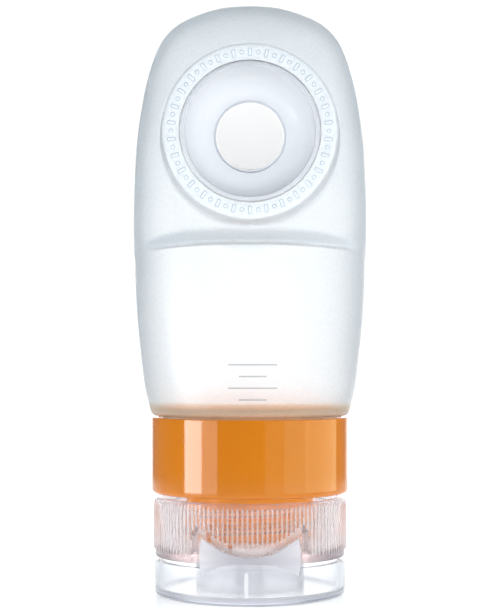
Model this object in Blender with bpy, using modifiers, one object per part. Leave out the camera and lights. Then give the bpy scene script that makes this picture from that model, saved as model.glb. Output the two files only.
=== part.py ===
"""Travel squeeze tube that stands on its flip lid.

A soft hollow body with a suction cup is held on a hard threaded neck. A collar turns round the joint of
the two, and a ribbed screw cap with a slit valve and a flip lid closes the neck. Metres, +Z up. The origin
is the middle of the lid's resting face, and the suction cup faces -Y.
"""

import math

import bmesh
import bpy
from mathutils import Vector

# Clearances and resolution
SEAT_GAP = 0.0003
CUT_OVERRUN = 0.0020
ROUND_STEPS = 56
INNER_STEPS = 36
MERGE_DISTANCE = 0.000002

# Flip lid
LID_OVERHANG = 0.0001
LID_HEIGHT = 0.0070
LID_WALL = 0.0015
LID_PLATE = 0.0015
LID_EDGE_ROUNDING = 0.0010
LID_RING_RADIUS = 0.0108
LID_RING_WALL = 0.0009
PLUG_SETBACK = 0.0016
PLUG_WALL = 0.0013
GUSSET_WIDTH = 0.0008
GUSSET_DEPTH = 0.0016
GUSSET_DROP = 0.0007
GUSSET_OFFSET = 0.0007

# Thumb lip, the bow-tie on the lid's front edge
LIP_HALF_WIDTH = 0.0092
LIP_BULGE = 0.0004
LIP_RISE = 0.0058
LIP_DROP = 0.0014
LIP_WAIST_RISE = 0.0022
LIP_WAIST_HEIGHT = 0.0011
LIP_PROUD = 0.0004
LIP_DEPTH = 0.0022
TONGUE_SETBACK = 0.0007
TONGUE_INSET = 0.0002
LIP_TOP_POWER = 2
LIP_BOTTOM_POWER = 3
LIP_POINTS = 8
THUMB_BEVEL_WIDTH = 0.0020
THUMB_BEVEL_DEPTH = 0.0012

# Screw cap base
LID_SHADOW_GAP = 0.0008
CAP_SETBACK = 0.0007
CAP_HEIGHT = 0.0116
CAP_WALL = 0.0015
CAP_DECK = 0.0015
CAP_EDGE = 0.0003
RIB_COUNT = 126
RIB_HEIGHT = 0.0003
RIB_ROOT_DEPTH = 0.0001
RIB_BAND_BOTTOM = 0.0013
RIB_BAND_TOP = 0.0004
RIB_FADE = 0.0009
SOCKET_WALL = 0.0014
SOCKET_RECESS = 0.0008
PAD_HEIGHT = 0.0060
PAD_HALF_WIDTH = 0.0125
ORIFICE_SHELF = 0.0024
VALVE_CUP_WALL = 0.0010
VALVE_CUP_SETBACK = 0.0026

# Hinge at the back
HINGE_HALF_WIDTH = 0.0045
HINGE_LUG_PROUD = 0.0006
HINGE_LUG_HEIGHT = 0.0015
HINGE_LUG_DEPTH = 0.0012

# Slit valve, its retainer and the sealing ring
VALVE_FLANGE = 0.0010
VALVE_HEAD = 0.0008
VALVE_HEAD_WALL = 0.0008
SLIT_WIDTH = 0.0003
SLIT_SETBACK = 0.0020
RETAINER_HEIGHT = 0.0012
RETAINER_LIP = 0.0008
GASKET_HEIGHT = 0.0016
GASKET_OVERLAP = 0.0006

# Threaded neck insert
NECK_SETBACK = 0.0012
NECK_WALL = 0.0015
THREAD_HEIGHT = 0.0009
THREAD_PITCH = 0.0032
THREAD_FOOT = 0.0014
THREAD_CREST = 0.0007
THREAD_START = 0.0015
NECK_THREAD_TURNS = 1.5
CAP_THREAD_FIRST_TURN = 0.3
THREAD_STEPS = 24
THREAD_SINK = 0.0002
FLANGE_HEIGHT = 0.0015
SLEEVE_WALL = 0.0012
BARB_HEIGHT = 0.0009
BARB_OVERHANG = 0.0025
BARB_BEVEL = 0.0004

# Collar and marker ring
COLLAR_SHADOW_GAP = 0.0008
COLLAR_RADIUS = 0.0196
COLLAR_HEIGHT = 0.0150
COLLAR_WALL = 0.0013
COLLAR_LIP = 0.0011
COLLAR_LIP_HEIGHT = 0.0009
COLLAR_EDGE_ROUNDING = 0.0008
SNAP_BEAD = 0.0006
SNAP_BEAD_HEIGHT = 0.0007
MARKER_WALL = 0.0007
WINDOW_HALF_WIDTH = 0.0055
WINDOW_HEIGHT = 0.0060
WINDOW_CORNER = 0.0012

# Squeeze body
BODY_HEIGHT = 0.0821
BODY_WIDTH = 0.0464
BODY_DEPTH = 0.0394
BODY_WALL = 0.0016
BODY_EDGE_ROUNDING = 0.0009
STEP_RISE = 0.0022
BODY_STEPS = 40
LOWER_RINGS = 7
UPPER_RINGS = 15
BODY_SQUARENESS_SHARE = 0.30

# Each row is height above the collar, half width, front half depth, back half depth, then how far the
# row climbs at the front and sinks at the back. Heights are shares of the body's height, climbs and
# falls of the step's rise. Below the step, the half sizes go from the collar's radius at 0 to the body's
# own at 1. Above it they are shares of the body's own.
LOWER_ROW_SHARES = (
    (0.018, 0.078, 0.000, 0.000, 0.00, 0.00),
    (0.080, 0.394, 0.350, 0.350, 0.15, 0.15),
    (0.155, 0.600, 0.700, 0.700, 0.35, 0.35),
    (0.230, 0.775, 0.900, 0.900, 0.60, 0.60),
    (0.308, 0.883, 1.000, 1.000, 0.82, 0.82),
    (0.385, 0.917, 1.000, 1.000, 1.00, 1.00),
)
UPPER_ROW_SHARES = (
    (0.387, 0.997, 0.725, 0.978, 2.10, 1.00),
    (0.475, 1.000, 0.705, 0.945, 1.00, 0.70),
    (0.570, 0.992, 0.690, 0.890, 0.30, 0.30),
    (0.660, 0.975, 0.655, 0.820, 0.00, 0.00),
    (0.740, 0.938, 0.590, 0.735, 0.00, 0.00),
    (0.810, 0.890, 0.512, 0.635, 0.00, 0.00),
    (0.870, 0.826, 0.435, 0.535, 0.00, 0.00),
    (0.915, 0.750, 0.366, 0.445, 0.00, 0.00),
    (0.950, 0.630, 0.290, 0.345, 0.00, 0.00),
    (0.975, 0.450, 0.212, 0.245, 0.00, 0.00),
    (0.992, 0.250, 0.125, 0.140, 0.00, 0.00),
)

# Suction cup and the boss that carries it
CUP_PROUD = 0.0003
CUP_HEIGHT_SHARE = 0.66
CUP_RADIUS = 0.0131
CUP_LIP = 0.0007
CUP_DEPTH = 0.0083
CUP_WALL = 0.0013
CUP_FLOOR_RADIUS = 0.0072
CUP_BUTTON_RADIUS = 0.0065
CUP_BUTTON_HEIGHT = 0.0007
CUP_RIM_HEIGHT = 0.0012
BOSS_RADIUS = 0.0166
BOSS_EDGE_ROUNDING = 0.0004
BOSS_DEPTH_SHARE = 0.65
BOSS_DRAFT = 0.0011
CUP_STEPS = 40
DISH_POINTS = 5

# Radii of the nested rings, from the collar inwards
COLLAR_BORE = COLLAR_RADIUS - COLLAR_WALL
MARKER_RADIUS = COLLAR_BORE - SEAT_GAP
MARKER_BORE = MARKER_RADIUS - MARKER_WALL
MOUTH_RADIUS = MARKER_BORE - SEAT_GAP
MOUTH_BORE = MOUTH_RADIUS - BODY_WALL
SLEEVE_RADIUS = MOUTH_BORE - SEAT_GAP
SLEEVE_BORE = SLEEVE_RADIUS - SLEEVE_WALL
NECK_RADIUS = SLEEVE_BORE - NECK_SETBACK
NECK_BORE = NECK_RADIUS - NECK_WALL
THREAD_RADIUS = NECK_RADIUS + THREAD_HEIGHT
SOCKET_BORE = THREAD_RADIUS + SEAT_GAP
SOCKET_RADIUS = SOCKET_BORE + SOCKET_WALL
CAP_RADIUS = COLLAR_RADIUS - CAP_SETBACK
CAP_BORE = CAP_RADIUS - CAP_WALL
RIB_RADIUS = CAP_RADIUS + RIB_HEIGHT
LID_RADIUS = CAP_RADIUS + LID_OVERHANG
LIP_OUTER_RADIUS = LID_RADIUS + LIP_PROUD
LIP_INNER_RADIUS = LIP_OUTER_RADIUS - LIP_DEPTH
POCKET_RADIUS = LIP_INNER_RADIUS - SEAT_GAP
GASKET_RADIUS = NECK_RADIUS + GASKET_OVERLAP
GASKET_BORE = NECK_BORE - GASKET_OVERLAP
VALVE_CUP_RADIUS = GASKET_BORE - VALVE_CUP_SETBACK - VALVE_CUP_WALL
ORIFICE_RADIUS = VALVE_CUP_RADIUS - ORIFICE_SHELF
RETAINER_BORE = ORIFICE_RADIUS - RETAINER_LIP
PLUG_RADIUS = ORIFICE_RADIUS - PLUG_SETBACK
PLUG_BORE = PLUG_RADIUS - PLUG_WALL

# Heights above the lid's resting face
CAP_BOTTOM = LID_HEIGHT + LID_SHADOW_GAP
DECK_TOP = CAP_BOTTOM + CAP_DECK
CAP_TOP = CAP_BOTTOM + CAP_HEIGHT
COLLAR_BOTTOM = CAP_TOP + COLLAR_SHADOW_GAP
COLLAR_TOP = COLLAR_BOTTOM + COLLAR_HEIGHT
CROWN_TOP = COLLAR_TOP + BODY_HEIGHT
FLANGE_BOTTOM = COLLAR_BOTTOM + COLLAR_LIP_HEIGHT + SEAT_GAP
FLANGE_TOP = FLANGE_BOTTOM + FLANGE_HEIGHT
GASKET_BOTTOM = DECK_TOP + SEAT_GAP
GASKET_TOP = GASKET_BOTTOM + GASKET_HEIGHT
NECK_BOTTOM = GASKET_TOP + SEAT_GAP
BEAD_BOTTOM = FLANGE_TOP + SEAT_GAP
BEAD_TOP = BEAD_BOTTOM + SNAP_BEAD_HEIGHT
BODY_MOUTH = FLANGE_TOP + SEAT_GAP
BODY_FOOT = COLLAR_TOP + SEAT_GAP
BARB_BOTTOM = BODY_FOOT + BODY_WALL + SEAT_GAP
LIP_TOP = LID_HEIGHT + LIP_RISE
LIP_BOTTOM = LID_HEIGHT - LIP_DROP
LIP_WAIST_TOP = LID_HEIGHT + LIP_WAIST_RISE
LIP_WAIST_BOTTOM = LIP_WAIST_TOP - LIP_WAIST_HEIGHT
CUP_FACE = BODY_DEPTH / 2 + CUP_PROUD
CUP_HEIGHT = COLLAR_TOP + CUP_HEIGHT_SHARE * BODY_HEIGHT
BOSS_DEPTH = BOSS_DEPTH_SHARE * CUP_FACE

HINGE_AXIS_Y = RIB_RADIUS + HINGE_LUG_PROUD
HINGE_AXIS_Z = LID_HEIGHT + LID_SHADOW_GAP / 2

FULL_TURN = 2 * math.pi
SMOOTH_ANGLE = math.radians(32)


def clear_scene():
    for obj in list(bpy.data.objects):
        bpy.data.objects.remove(obj, do_unlink=True)


def new_collection(name):
    collection = bpy.data.collections.new(name)
    bpy.context.scene.collection.children.link(collection)
    return collection


def material(name, color, roughness, transmission=0.0, alpha=1.0):
    made = bpy.data.materials.new(name)
    made.use_nodes = True
    shader = made.node_tree.nodes["Principled BSDF"]
    shader.inputs["Base Color"].default_value = (*color, 1.0)
    shader.inputs["Roughness"].default_value = roughness
    shader.inputs["Metallic"].default_value = 0.0
    shader.inputs["Transmission Weight"].default_value = transmission
    shader.inputs["Alpha"].default_value = alpha
    made.diffuse_color = (*color, alpha)
    return made


def add_object(name, mesh, collection):
    obj = bpy.data.objects.new(name, mesh)
    collection.objects.link(obj)
    return obj


def mesh_object(name, build, collection):
    """An object whose mesh is filled in by build(bm), with its faces turned outwards."""
    bm = bmesh.new()
    build(bm)
    bmesh.ops.recalc_face_normals(bm, faces=bm.faces)
    mesh = bpy.data.meshes.new(name)
    bm.to_mesh(mesh)
    bm.free()
    return add_object(name, mesh, collection)


def turned(name, profile, steps, collection):
    """Turns (radius, height) points about Z. They run down the outer side, and back up the inner one
    where the shape has a bore."""
    mesh = bpy.data.meshes.new(name)
    count = len(profile)
    edges = [(index, index + 1) for index in range(count - 1)]
    if min(radius for radius, height in profile) > 0:
        edges.append((count - 1, 0))
    mesh.from_pydata([(radius, 0, height) for radius, height in profile], edges, [])
    obj = add_object(name, mesh, collection)
    screw = obj.modifiers.new("Turn", "SCREW")
    screw.steps = steps
    screw.render_steps = steps
    screw.angle = FULL_TURN
    screw.use_merge_vertices = True
    screw.merge_threshold = MERGE_DISTANCE
    return obj


def box(name, low, high, collection):
    """A box from its lowest to its highest corner."""
    low = Vector(low)
    high = Vector(high)
    bm = bmesh.new()
    bmesh.ops.create_cube(bm, size=1)
    bmesh.ops.scale(bm, vec=high - low, verts=bm.verts)
    bmesh.ops.translate(bm, vec=(low + high) / 2, verts=bm.verts)
    mesh = bpy.data.meshes.new(name)
    bm.to_mesh(mesh)
    bm.free()
    return add_object(name, mesh, collection)


def fuse_rings(bm, rings, close=False):
    """Skins a row of equal rings of points, and caps the first and the last unless they close up."""
    loops = [[bm.verts.new(point) for point in ring] for ring in rings]
    pairs = list(zip(loops, loops[1:]))
    if close:
        pairs.append((loops[-1], loops[0]))
    for lower, upper in pairs:
        for index, corner in enumerate(lower):
            after = (index + 1) % len(lower)
            bm.faces.new((corner, lower[after], upper[after], upper[index]))
    if not close:
        bm.faces.new(reversed(loops[0]))
        bm.faces.new(loops[-1])


def plate(name, outline, near, far, collection):
    """An outline of (x, z) points, extruded along Y from near to far."""

    def build(bm):
        fuse_rings(bm, [[Vector((x, y, z)) for x, z in outline] for y in (near, far)])

    return mesh_object(name, build, collection)


def modify(obj, operation, other):
    boolean = obj.modifiers.new(operation.title(), "BOOLEAN")
    boolean.operation = operation
    boolean.solver = "EXACT"
    boolean.object = other


def join(obj, *others):
    for other in others:
        modify(obj, "UNION", other)


def cut(obj, *others):
    for other in others:
        modify(obj, "DIFFERENCE", other)


def keep_inside(obj, other):
    modify(obj, "INTERSECT", other)


def arc(centre, radius, start, end, points):
    """Points on an arc round (radius, height), between two angles in degrees."""
    found = []
    for index in range(points):
        angle = math.radians(start + (end - start) * index / (points - 1))
        found.append((centre[0] + radius * math.cos(angle), centre[1] + radius * math.sin(angle)))
    return found


def smooth_rows(rows, count, before, after):
    """Rows on a smooth curve through the given ones. The rows before and after only steer its ends."""
    guides = [before, *rows, after]
    spans = len(rows) - 1
    found = []
    for index in range(count):
        place = index * spans / (count - 1)
        span = min(int(place), spans - 1)
        part = place - span
        values = []
        for first, second, third, fourth in zip(*guides[span : span + 4]):
            line = 2 * second + (third - first) * part
            bend = (2 * first - 5 * second + 4 * third - fourth) * part**2
            twist = (3 * second - first - 3 * third + fourth) * part**3
            values.append((line + bend + twist) / 2)
        found.append(tuple(values))
    return found


def body_row(shares, base):
    """A row of shares in metres. Its half sizes start from the base radius at 0."""
    height, width, front, back, climb, fall = shares
    return (
        COLLAR_TOP + height * BODY_HEIGHT,
        base + width * (BODY_WIDTH / 2 - base),
        base + front * (BODY_DEPTH / 2 - base),
        base + back * (BODY_DEPTH / 2 - base),
        climb * STEP_RISE,
        fall * STEP_RISE,
    )


def beyond(row, previous):
    """The guide row that goes on past the end of a curve as it came."""
    return tuple(2 * here - there for here, there in zip(row, previous))


def body_rows():
    """The rows of the body's outer skin, from its mouth to just under the crown."""
    rows = [(height, MOUTH_RADIUS, MOUTH_RADIUS, MOUTH_RADIUS, 0, 0) for height in (BODY_MOUTH, BODY_FOOT)]
    lower = [body_row(shares, COLLAR_RADIUS) for shares in LOWER_ROW_SHARES]
    centre = (COLLAR_RADIUS - BODY_EDGE_ROUNDING, BODY_FOOT + BODY_EDGE_ROUNDING)
    for radius, height in arc(centre, BODY_EDGE_ROUNDING, -90, -22.5, 3):
        rows.append((height, radius, radius, radius, 0, 0))
    rows += smooth_rows(lower, LOWER_RINGS, beyond(lower[0], lower[1]), beyond(lower[-1], lower[-2]))
    upper = [body_row(shares, 0) for shares in UPPER_ROW_SHARES]
    crown = (CROWN_TOP, 0, 0, 0, 0, 0)
    rows += smooth_rows(upper, UPPER_RINGS, beyond(upper[0], upper[1]), crown)
    return rows


def body_ring(row):
    """One ring of points. It is round at the collar and squarer where the body flattens."""
    height, half_width, front, back, climb, fall = row
    flattening = 1 - min(1, (front + back) / (2 * half_width))
    power = 2 / (2 + BODY_SQUARENESS_SHARE * min(1, flattening / BODY_SQUARENESS_SHARE))
    ring = []
    for index in range(BODY_STEPS):
        angle = FULL_TURN * index / BODY_STEPS
        across = math.copysign(abs(math.cos(angle)) ** power, math.cos(angle))
        along = math.copysign(abs(math.sin(angle)) ** power, math.sin(angle))
        depth = back if along > 0 else front
        lift = -along * (fall if along > 0 else climb)
        ring.append(Vector((half_width * across, depth * along, height + lift)))
    return ring


def inner_rings(rings, crown):
    """The rings moved inwards by the wall, square to the skin that they lie on."""
    moved = []
    for number, ring in enumerate(rings):
        above = rings[number + 1] if number + 1 < len(rings) else [crown] * BODY_STEPS
        below = rings[max(number - 1, 0)]
        inset = []
        for index, point in enumerate(ring):
            round_way = ring[(index + 1) % BODY_STEPS] - ring[index - 1]
            up_way = above[index] - below[index]
            inset.append(point - round_way.cross(up_way).normalized() * BODY_WALL)
        moved.append(inset)
    return moved


def crowned(bm, rings, crown):
    """Skins the rings, caps the first and draws the last to the crown."""
    fuse_rings(bm, rings)
    bmesh.ops.remove_doubles(bm, verts=bm.verts, dist=MERGE_DISTANCE)
    last = max(bm.faces, key=lambda face: face.calc_center_median().z)
    bmesh.ops.poke(bm, faces=[last])
    top = min(bm.verts, key=lambda vert: (vert.co - rings[-1][0].lerp(crown, 1)).length)
    top.co = crown


def facing_wall(obj):
    """Lays a piece turned about Z over so that its axis points along -Y, through the suction cup."""
    obj.location = (0, -CUP_FACE, CUP_HEIGHT)
    obj.rotation_euler = (math.pi / 2, 0, 0)
    return obj


def dish(radius, depth, floor_radius):
    """The hollow side of the cup, from its rim to the edge of its floor."""
    points = []
    for index in range(DISH_POINTS):
        angle = math.pi / 2 * index / (DISH_POINTS - 1)
        inwards = (radius - floor_radius) * (1 - math.cos(angle))
        points.append((radius - inwards, -depth * math.sin(angle)))
    return points


def make_body(parts, cutters):
    rings = [body_ring(row) for row in body_rows()]
    inner = inner_rings(rings, Vector((0, 0, CROWN_TOP)))
    for point in inner[0]:
        point.z -= CUT_OVERRUN
    body = mesh_object(
        "squeeze_body", lambda bm: crowned(bm, rings, Vector((0, 0, CROWN_TOP))), parts
    )
    hollow = mesh_object(
        "body_hollow", lambda bm: crowned(bm, inner, Vector((0, 0, CROWN_TOP - BODY_WALL))), cutters
    )
    seat_radius = CUP_RADIUS + SEAT_GAP
    boss = turned(
        "cup_boss",
        [
            (0, 0),
            *arc((BOSS_RADIUS - BOSS_EDGE_ROUNDING, -BOSS_EDGE_ROUNDING), BOSS_EDGE_ROUNDING, 90, 0, 3),
            (BOSS_RADIUS + BOSS_DRAFT, -BOSS_DEPTH),
            (0, -BOSS_DEPTH),
        ],
        CUP_STEPS,
        cutters,
    )
    back = dish(seat_radius, CUP_DEPTH + CUP_WALL + SEAT_GAP, CUP_FLOOR_RADIUS + CUP_WALL)
    skin = [(radius + BODY_WALL, height - BODY_WALL) for radius, height in back]
    socket = turned("cup_socket", [(0, skin[0][1]), *skin, (0, skin[-1][1])], CUP_STEPS, cutters)
    pocket = turned(
        "cup_pocket",
        [
            (0, CUT_OVERRUN),
            (seat_radius, CUT_OVERRUN),
            (seat_radius, -CUP_RIM_HEIGHT - SEAT_GAP),
            *back[1:],
            (0, back[-1][1]),
        ],
        CUP_STEPS,
        cutters,
    )
    relief_radius = BOSS_RADIUS - BODY_WALL
    relief = turned(
        "boss_relief",
        [
            (relief_radius, skin[2][1]),
            (relief_radius + BOSS_DRAFT, -BOSS_DEPTH - CUT_OVERRUN),
            (skin[-1][0], -BOSS_DEPTH - CUT_OVERRUN),
            skin[-1],
            *reversed(skin[2:-1]),
        ],
        CUP_STEPS,
        cutters,
    )
    for piece in (boss, socket, pocket, relief):
        facing_wall(piece)
    join(body, boss)
    cut(body, hollow, relief)
    join(body, socket)
    cut(body, pocket)
    return body


def make_suction_cup(parts):
    rim = CUP_RADIUS - CUP_LIP
    front = dish(rim, CUP_DEPTH, CUP_FLOOR_RADIUS)
    back = dish(CUP_RADIUS, CUP_DEPTH + CUP_WALL, CUP_FLOOR_RADIUS + CUP_WALL)
    button = CUP_BUTTON_HEIGHT - CUP_DEPTH
    profile = [
        (0, button),
        (CUP_BUTTON_RADIUS, button),
        (CUP_BUTTON_RADIUS, -CUP_DEPTH),
        *reversed(front),
        (CUP_RADIUS, 0),
        (CUP_RADIUS, -CUP_RIM_HEIGHT),
        *back[1:],
        (0, back[-1][1]),
    ]
    return facing_wall(turned("suction_cup", profile, CUP_STEPS, parts))


def thread(name, root, crest, first_turn, last_turn, foot_height, collection):
    """A ridge along a right-hand helix, from the root radius to the crest radius."""
    turns = last_turn - first_turn
    count = round(turns * THREAD_STEPS)

    def build(bm):
        rings = []
        for index in range(count + 1):
            turn = first_turn + turns * index / count
            angle = FULL_TURN * turn
            outwards = Vector((math.cos(angle), math.sin(angle), 0))
            middle = Vector((0, 0, foot_height + turn * THREAD_PITCH))
            low = Vector((0, 0, -1))
            corners = ((root, THREAD_FOOT), (root, -THREAD_FOOT), (crest, -THREAD_CREST), (crest, THREAD_CREST))
            rings.append([outwards * radius + middle + low * width / 2 for radius, width in corners])
        fuse_rings(bm, rings)

    return mesh_object(name, build, collection)


def make_neck_insert(parts, cutters):
    barb_radius = MOUTH_BORE + BARB_OVERHANG
    barb_top = BARB_BOTTOM + BARB_HEIGHT
    insert = turned(
        "neck_insert",
        [
            (barb_radius - BARB_BEVEL, barb_top),
            (barb_radius, barb_top - BARB_BEVEL),
            (barb_radius, BARB_BOTTOM),
            (SLEEVE_RADIUS, BARB_BOTTOM),
            (SLEEVE_RADIUS, FLANGE_TOP),
            (MARKER_RADIUS, FLANGE_TOP),
            (MARKER_RADIUS, FLANGE_BOTTOM),
            (NECK_RADIUS, FLANGE_BOTTOM),
            (NECK_RADIUS, NECK_BOTTOM),
            (NECK_BORE, NECK_BOTTOM),
            (NECK_BORE, FLANGE_TOP),
            (SLEEVE_BORE, FLANGE_TOP + SLEEVE_BORE - NECK_BORE),
            (SLEEVE_BORE, barb_top),
        ],
        INNER_STEPS,
        parts,
    )
    ridge = thread(
        "neck_thread",
        NECK_RADIUS - THREAD_SINK,
        THREAD_RADIUS,
        0,
        NECK_THREAD_TURNS,
        NECK_BOTTOM + THREAD_START,
        cutters,
    )
    join(insert, ridge)
    return insert


def make_marker_ring(parts):
    bottom = BEAD_TOP + SEAT_GAP
    top = COLLAR_TOP
    return turned(
        "marker_ring",
        [(MARKER_RADIUS, top), (MARKER_RADIUS, bottom), (MARKER_BORE, bottom), (MARKER_BORE, top)],
        INNER_STEPS,
        parts,
    )


def make_collar_ring(parts, cutters):
    lip_radius = COLLAR_BORE - COLLAR_LIP
    lip_top = COLLAR_BOTTOM + COLLAR_LIP_HEIGHT
    rounding = COLLAR_EDGE_ROUNDING
    centre = (COLLAR_RADIUS - rounding, COLLAR_BOTTOM + rounding)
    collar = turned(
        "collar_ring",
        [
            (COLLAR_RADIUS, COLLAR_TOP),
            *arc(centre, rounding, 0, -90, 4),
            (lip_radius, COLLAR_BOTTOM),
            (lip_radius, lip_top),
            (COLLAR_BORE, lip_top),
            (COLLAR_BORE, BEAD_BOTTOM),
            (COLLAR_BORE - SNAP_BEAD, BEAD_BOTTOM),
            (COLLAR_BORE, BEAD_TOP),
            (COLLAR_BORE, COLLAR_TOP),
        ],
        ROUND_STEPS,
        parts,
    )
    middle = (COLLAR_BOTTOM + COLLAR_TOP) / 2
    half = WINDOW_HEIGHT / 2
    corner_x = WINDOW_HALF_WIDTH - WINDOW_CORNER
    corner_z = half - WINDOW_CORNER
    outline = []
    for turn, side_x, side_z in ((0, 1, 1), (90, -1, 1), (180, -1, -1), (270, 1, -1)):
        centre = (side_x * corner_x, middle + side_z * corner_z)
        outline += arc(centre, WINDOW_CORNER, turn, turn + 90, 4)
    near = COLLAR_BORE - CUT_OVERRUN
    far = COLLAR_RADIUS + CUT_OVERRUN
    cut(collar, plate("collar_window", outline, near, far, cutters))
    return collar


def lip_edge(level, reach, power, half_width):
    """Points along the lip's top or bottom edge, from one corner over the waist to the other."""
    points = []
    for index in range(2 * LIP_POINTS + 1):
        share = index / LIP_POINTS - 1
        points.append((share * half_width, level + reach * abs(share) ** power))
    return points


def lip_side(side):
    """The points that bulge out between the two corners on one side."""
    points = []
    for share in (0.25, 0.5, 0.75):
        height = LIP_TOP + (LIP_BOTTOM - LIP_TOP) * share
        bulge = LIP_BULGE * (1 - (2 * share - 1) ** 2)
        points.append((side * (LIP_HALF_WIDTH + bulge), height))
    return points if side > 0 else points[::-1]


def smile(rise, half_width):
    """The lip's top edge, raised by a gap and carried on to a half width."""
    reach = (LIP_TOP - LIP_WAIST_TOP) * (half_width / LIP_HALF_WIDTH) ** LIP_TOP_POWER
    return lip_edge(LIP_WAIST_TOP + rise, reach, LIP_TOP_POWER, half_width)


def bow_tie():
    frown = lip_edge(LIP_WAIST_BOTTOM, LIP_BOTTOM - LIP_WAIST_BOTTOM, LIP_BOTTOM_POWER, LIP_HALF_WIDTH)
    return [*smile(0, LIP_HALF_WIDTH), *lip_side(1), *reversed(frown), *lip_side(-1)]


def ribbed_band(bm):
    """The ring of ribs round the skirt. Their upper ends fade into the wall."""
    root = CAP_RADIUS - RIB_ROOT_DEPTH
    inside = CAP_RADIUS - CAP_WALL / 2
    bottom = CAP_BOTTOM + RIB_BAND_BOTTOM
    top = CAP_TOP - RIB_BAND_TOP
    levels = (
        (bottom, inside, inside),
        (bottom, root, RIB_RADIUS),
        (top - RIB_FADE, root, RIB_RADIUS),
        (top, root, root),
        (top, inside, inside),
    )
    rings = []
    for height, valley, peak in levels:
        ring = []
        for index in range(2 * RIB_COUNT):
            angle = FULL_TURN * index / (2 * RIB_COUNT)
            radius = peak if index % 2 else valley
            ring.append(Vector((radius * math.cos(angle), radius * math.sin(angle), height)))
        rings.append(ring)
    fuse_rings(bm, rings, close=True)


def bevel_section(x, depth, inner_top, outer_top):
    """A cut across the sloping edge at one place across the pocket, as a closed ring of points."""
    foot = CAP_BOTTOM - CUT_OVERRUN
    corners = (
        (RIB_RADIUS + CUT_OVERRUN, foot),
        (RIB_RADIUS - depth, foot),
        (RIB_RADIUS - depth, inner_top),
        (RIB_RADIUS, outer_top),
        (RIB_RADIUS + CUT_OVERRUN, outer_top),
    )
    return [Vector((x, -math.sqrt(radius**2 - x**2), height)) for radius, height in corners]


def thumb_bevel(bm):
    """The sloping edge round the top and sides of the lip's pocket, skinned from side to side."""
    side = LIP_HALF_WIDTH + LIP_BULGE + SEAT_GAP
    inner = smile(SEAT_GAP, side)
    outer = smile(SEAT_GAP + THUMB_BEVEL_WIDTH, side)
    sections = [
        bevel_section(x, THUMB_BEVEL_DEPTH, inner_top, outer_top)
        for (x, inner_top), (x, outer_top) in zip(inner, outer)
    ]
    half_way = side + THUMB_BEVEL_WIDTH / 2
    end = side + THUMB_BEVEL_WIDTH
    shoulder = LIP_TOP + THUMB_BEVEL_WIDTH
    for sign, place in ((-1, 0), (1, len(sections) + 1)):
        sections.insert(place, bevel_section(sign * half_way, THUMB_BEVEL_DEPTH / 2, LIP_TOP, shoulder))
    sections.insert(0, bevel_section(-end, -CAP_EDGE, LIP_WAIST_TOP, LIP_TOP))
    sections.append(bevel_section(end, -CAP_EDGE, LIP_WAIST_TOP, LIP_TOP))
    fuse_rings(bm, sections)


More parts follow.
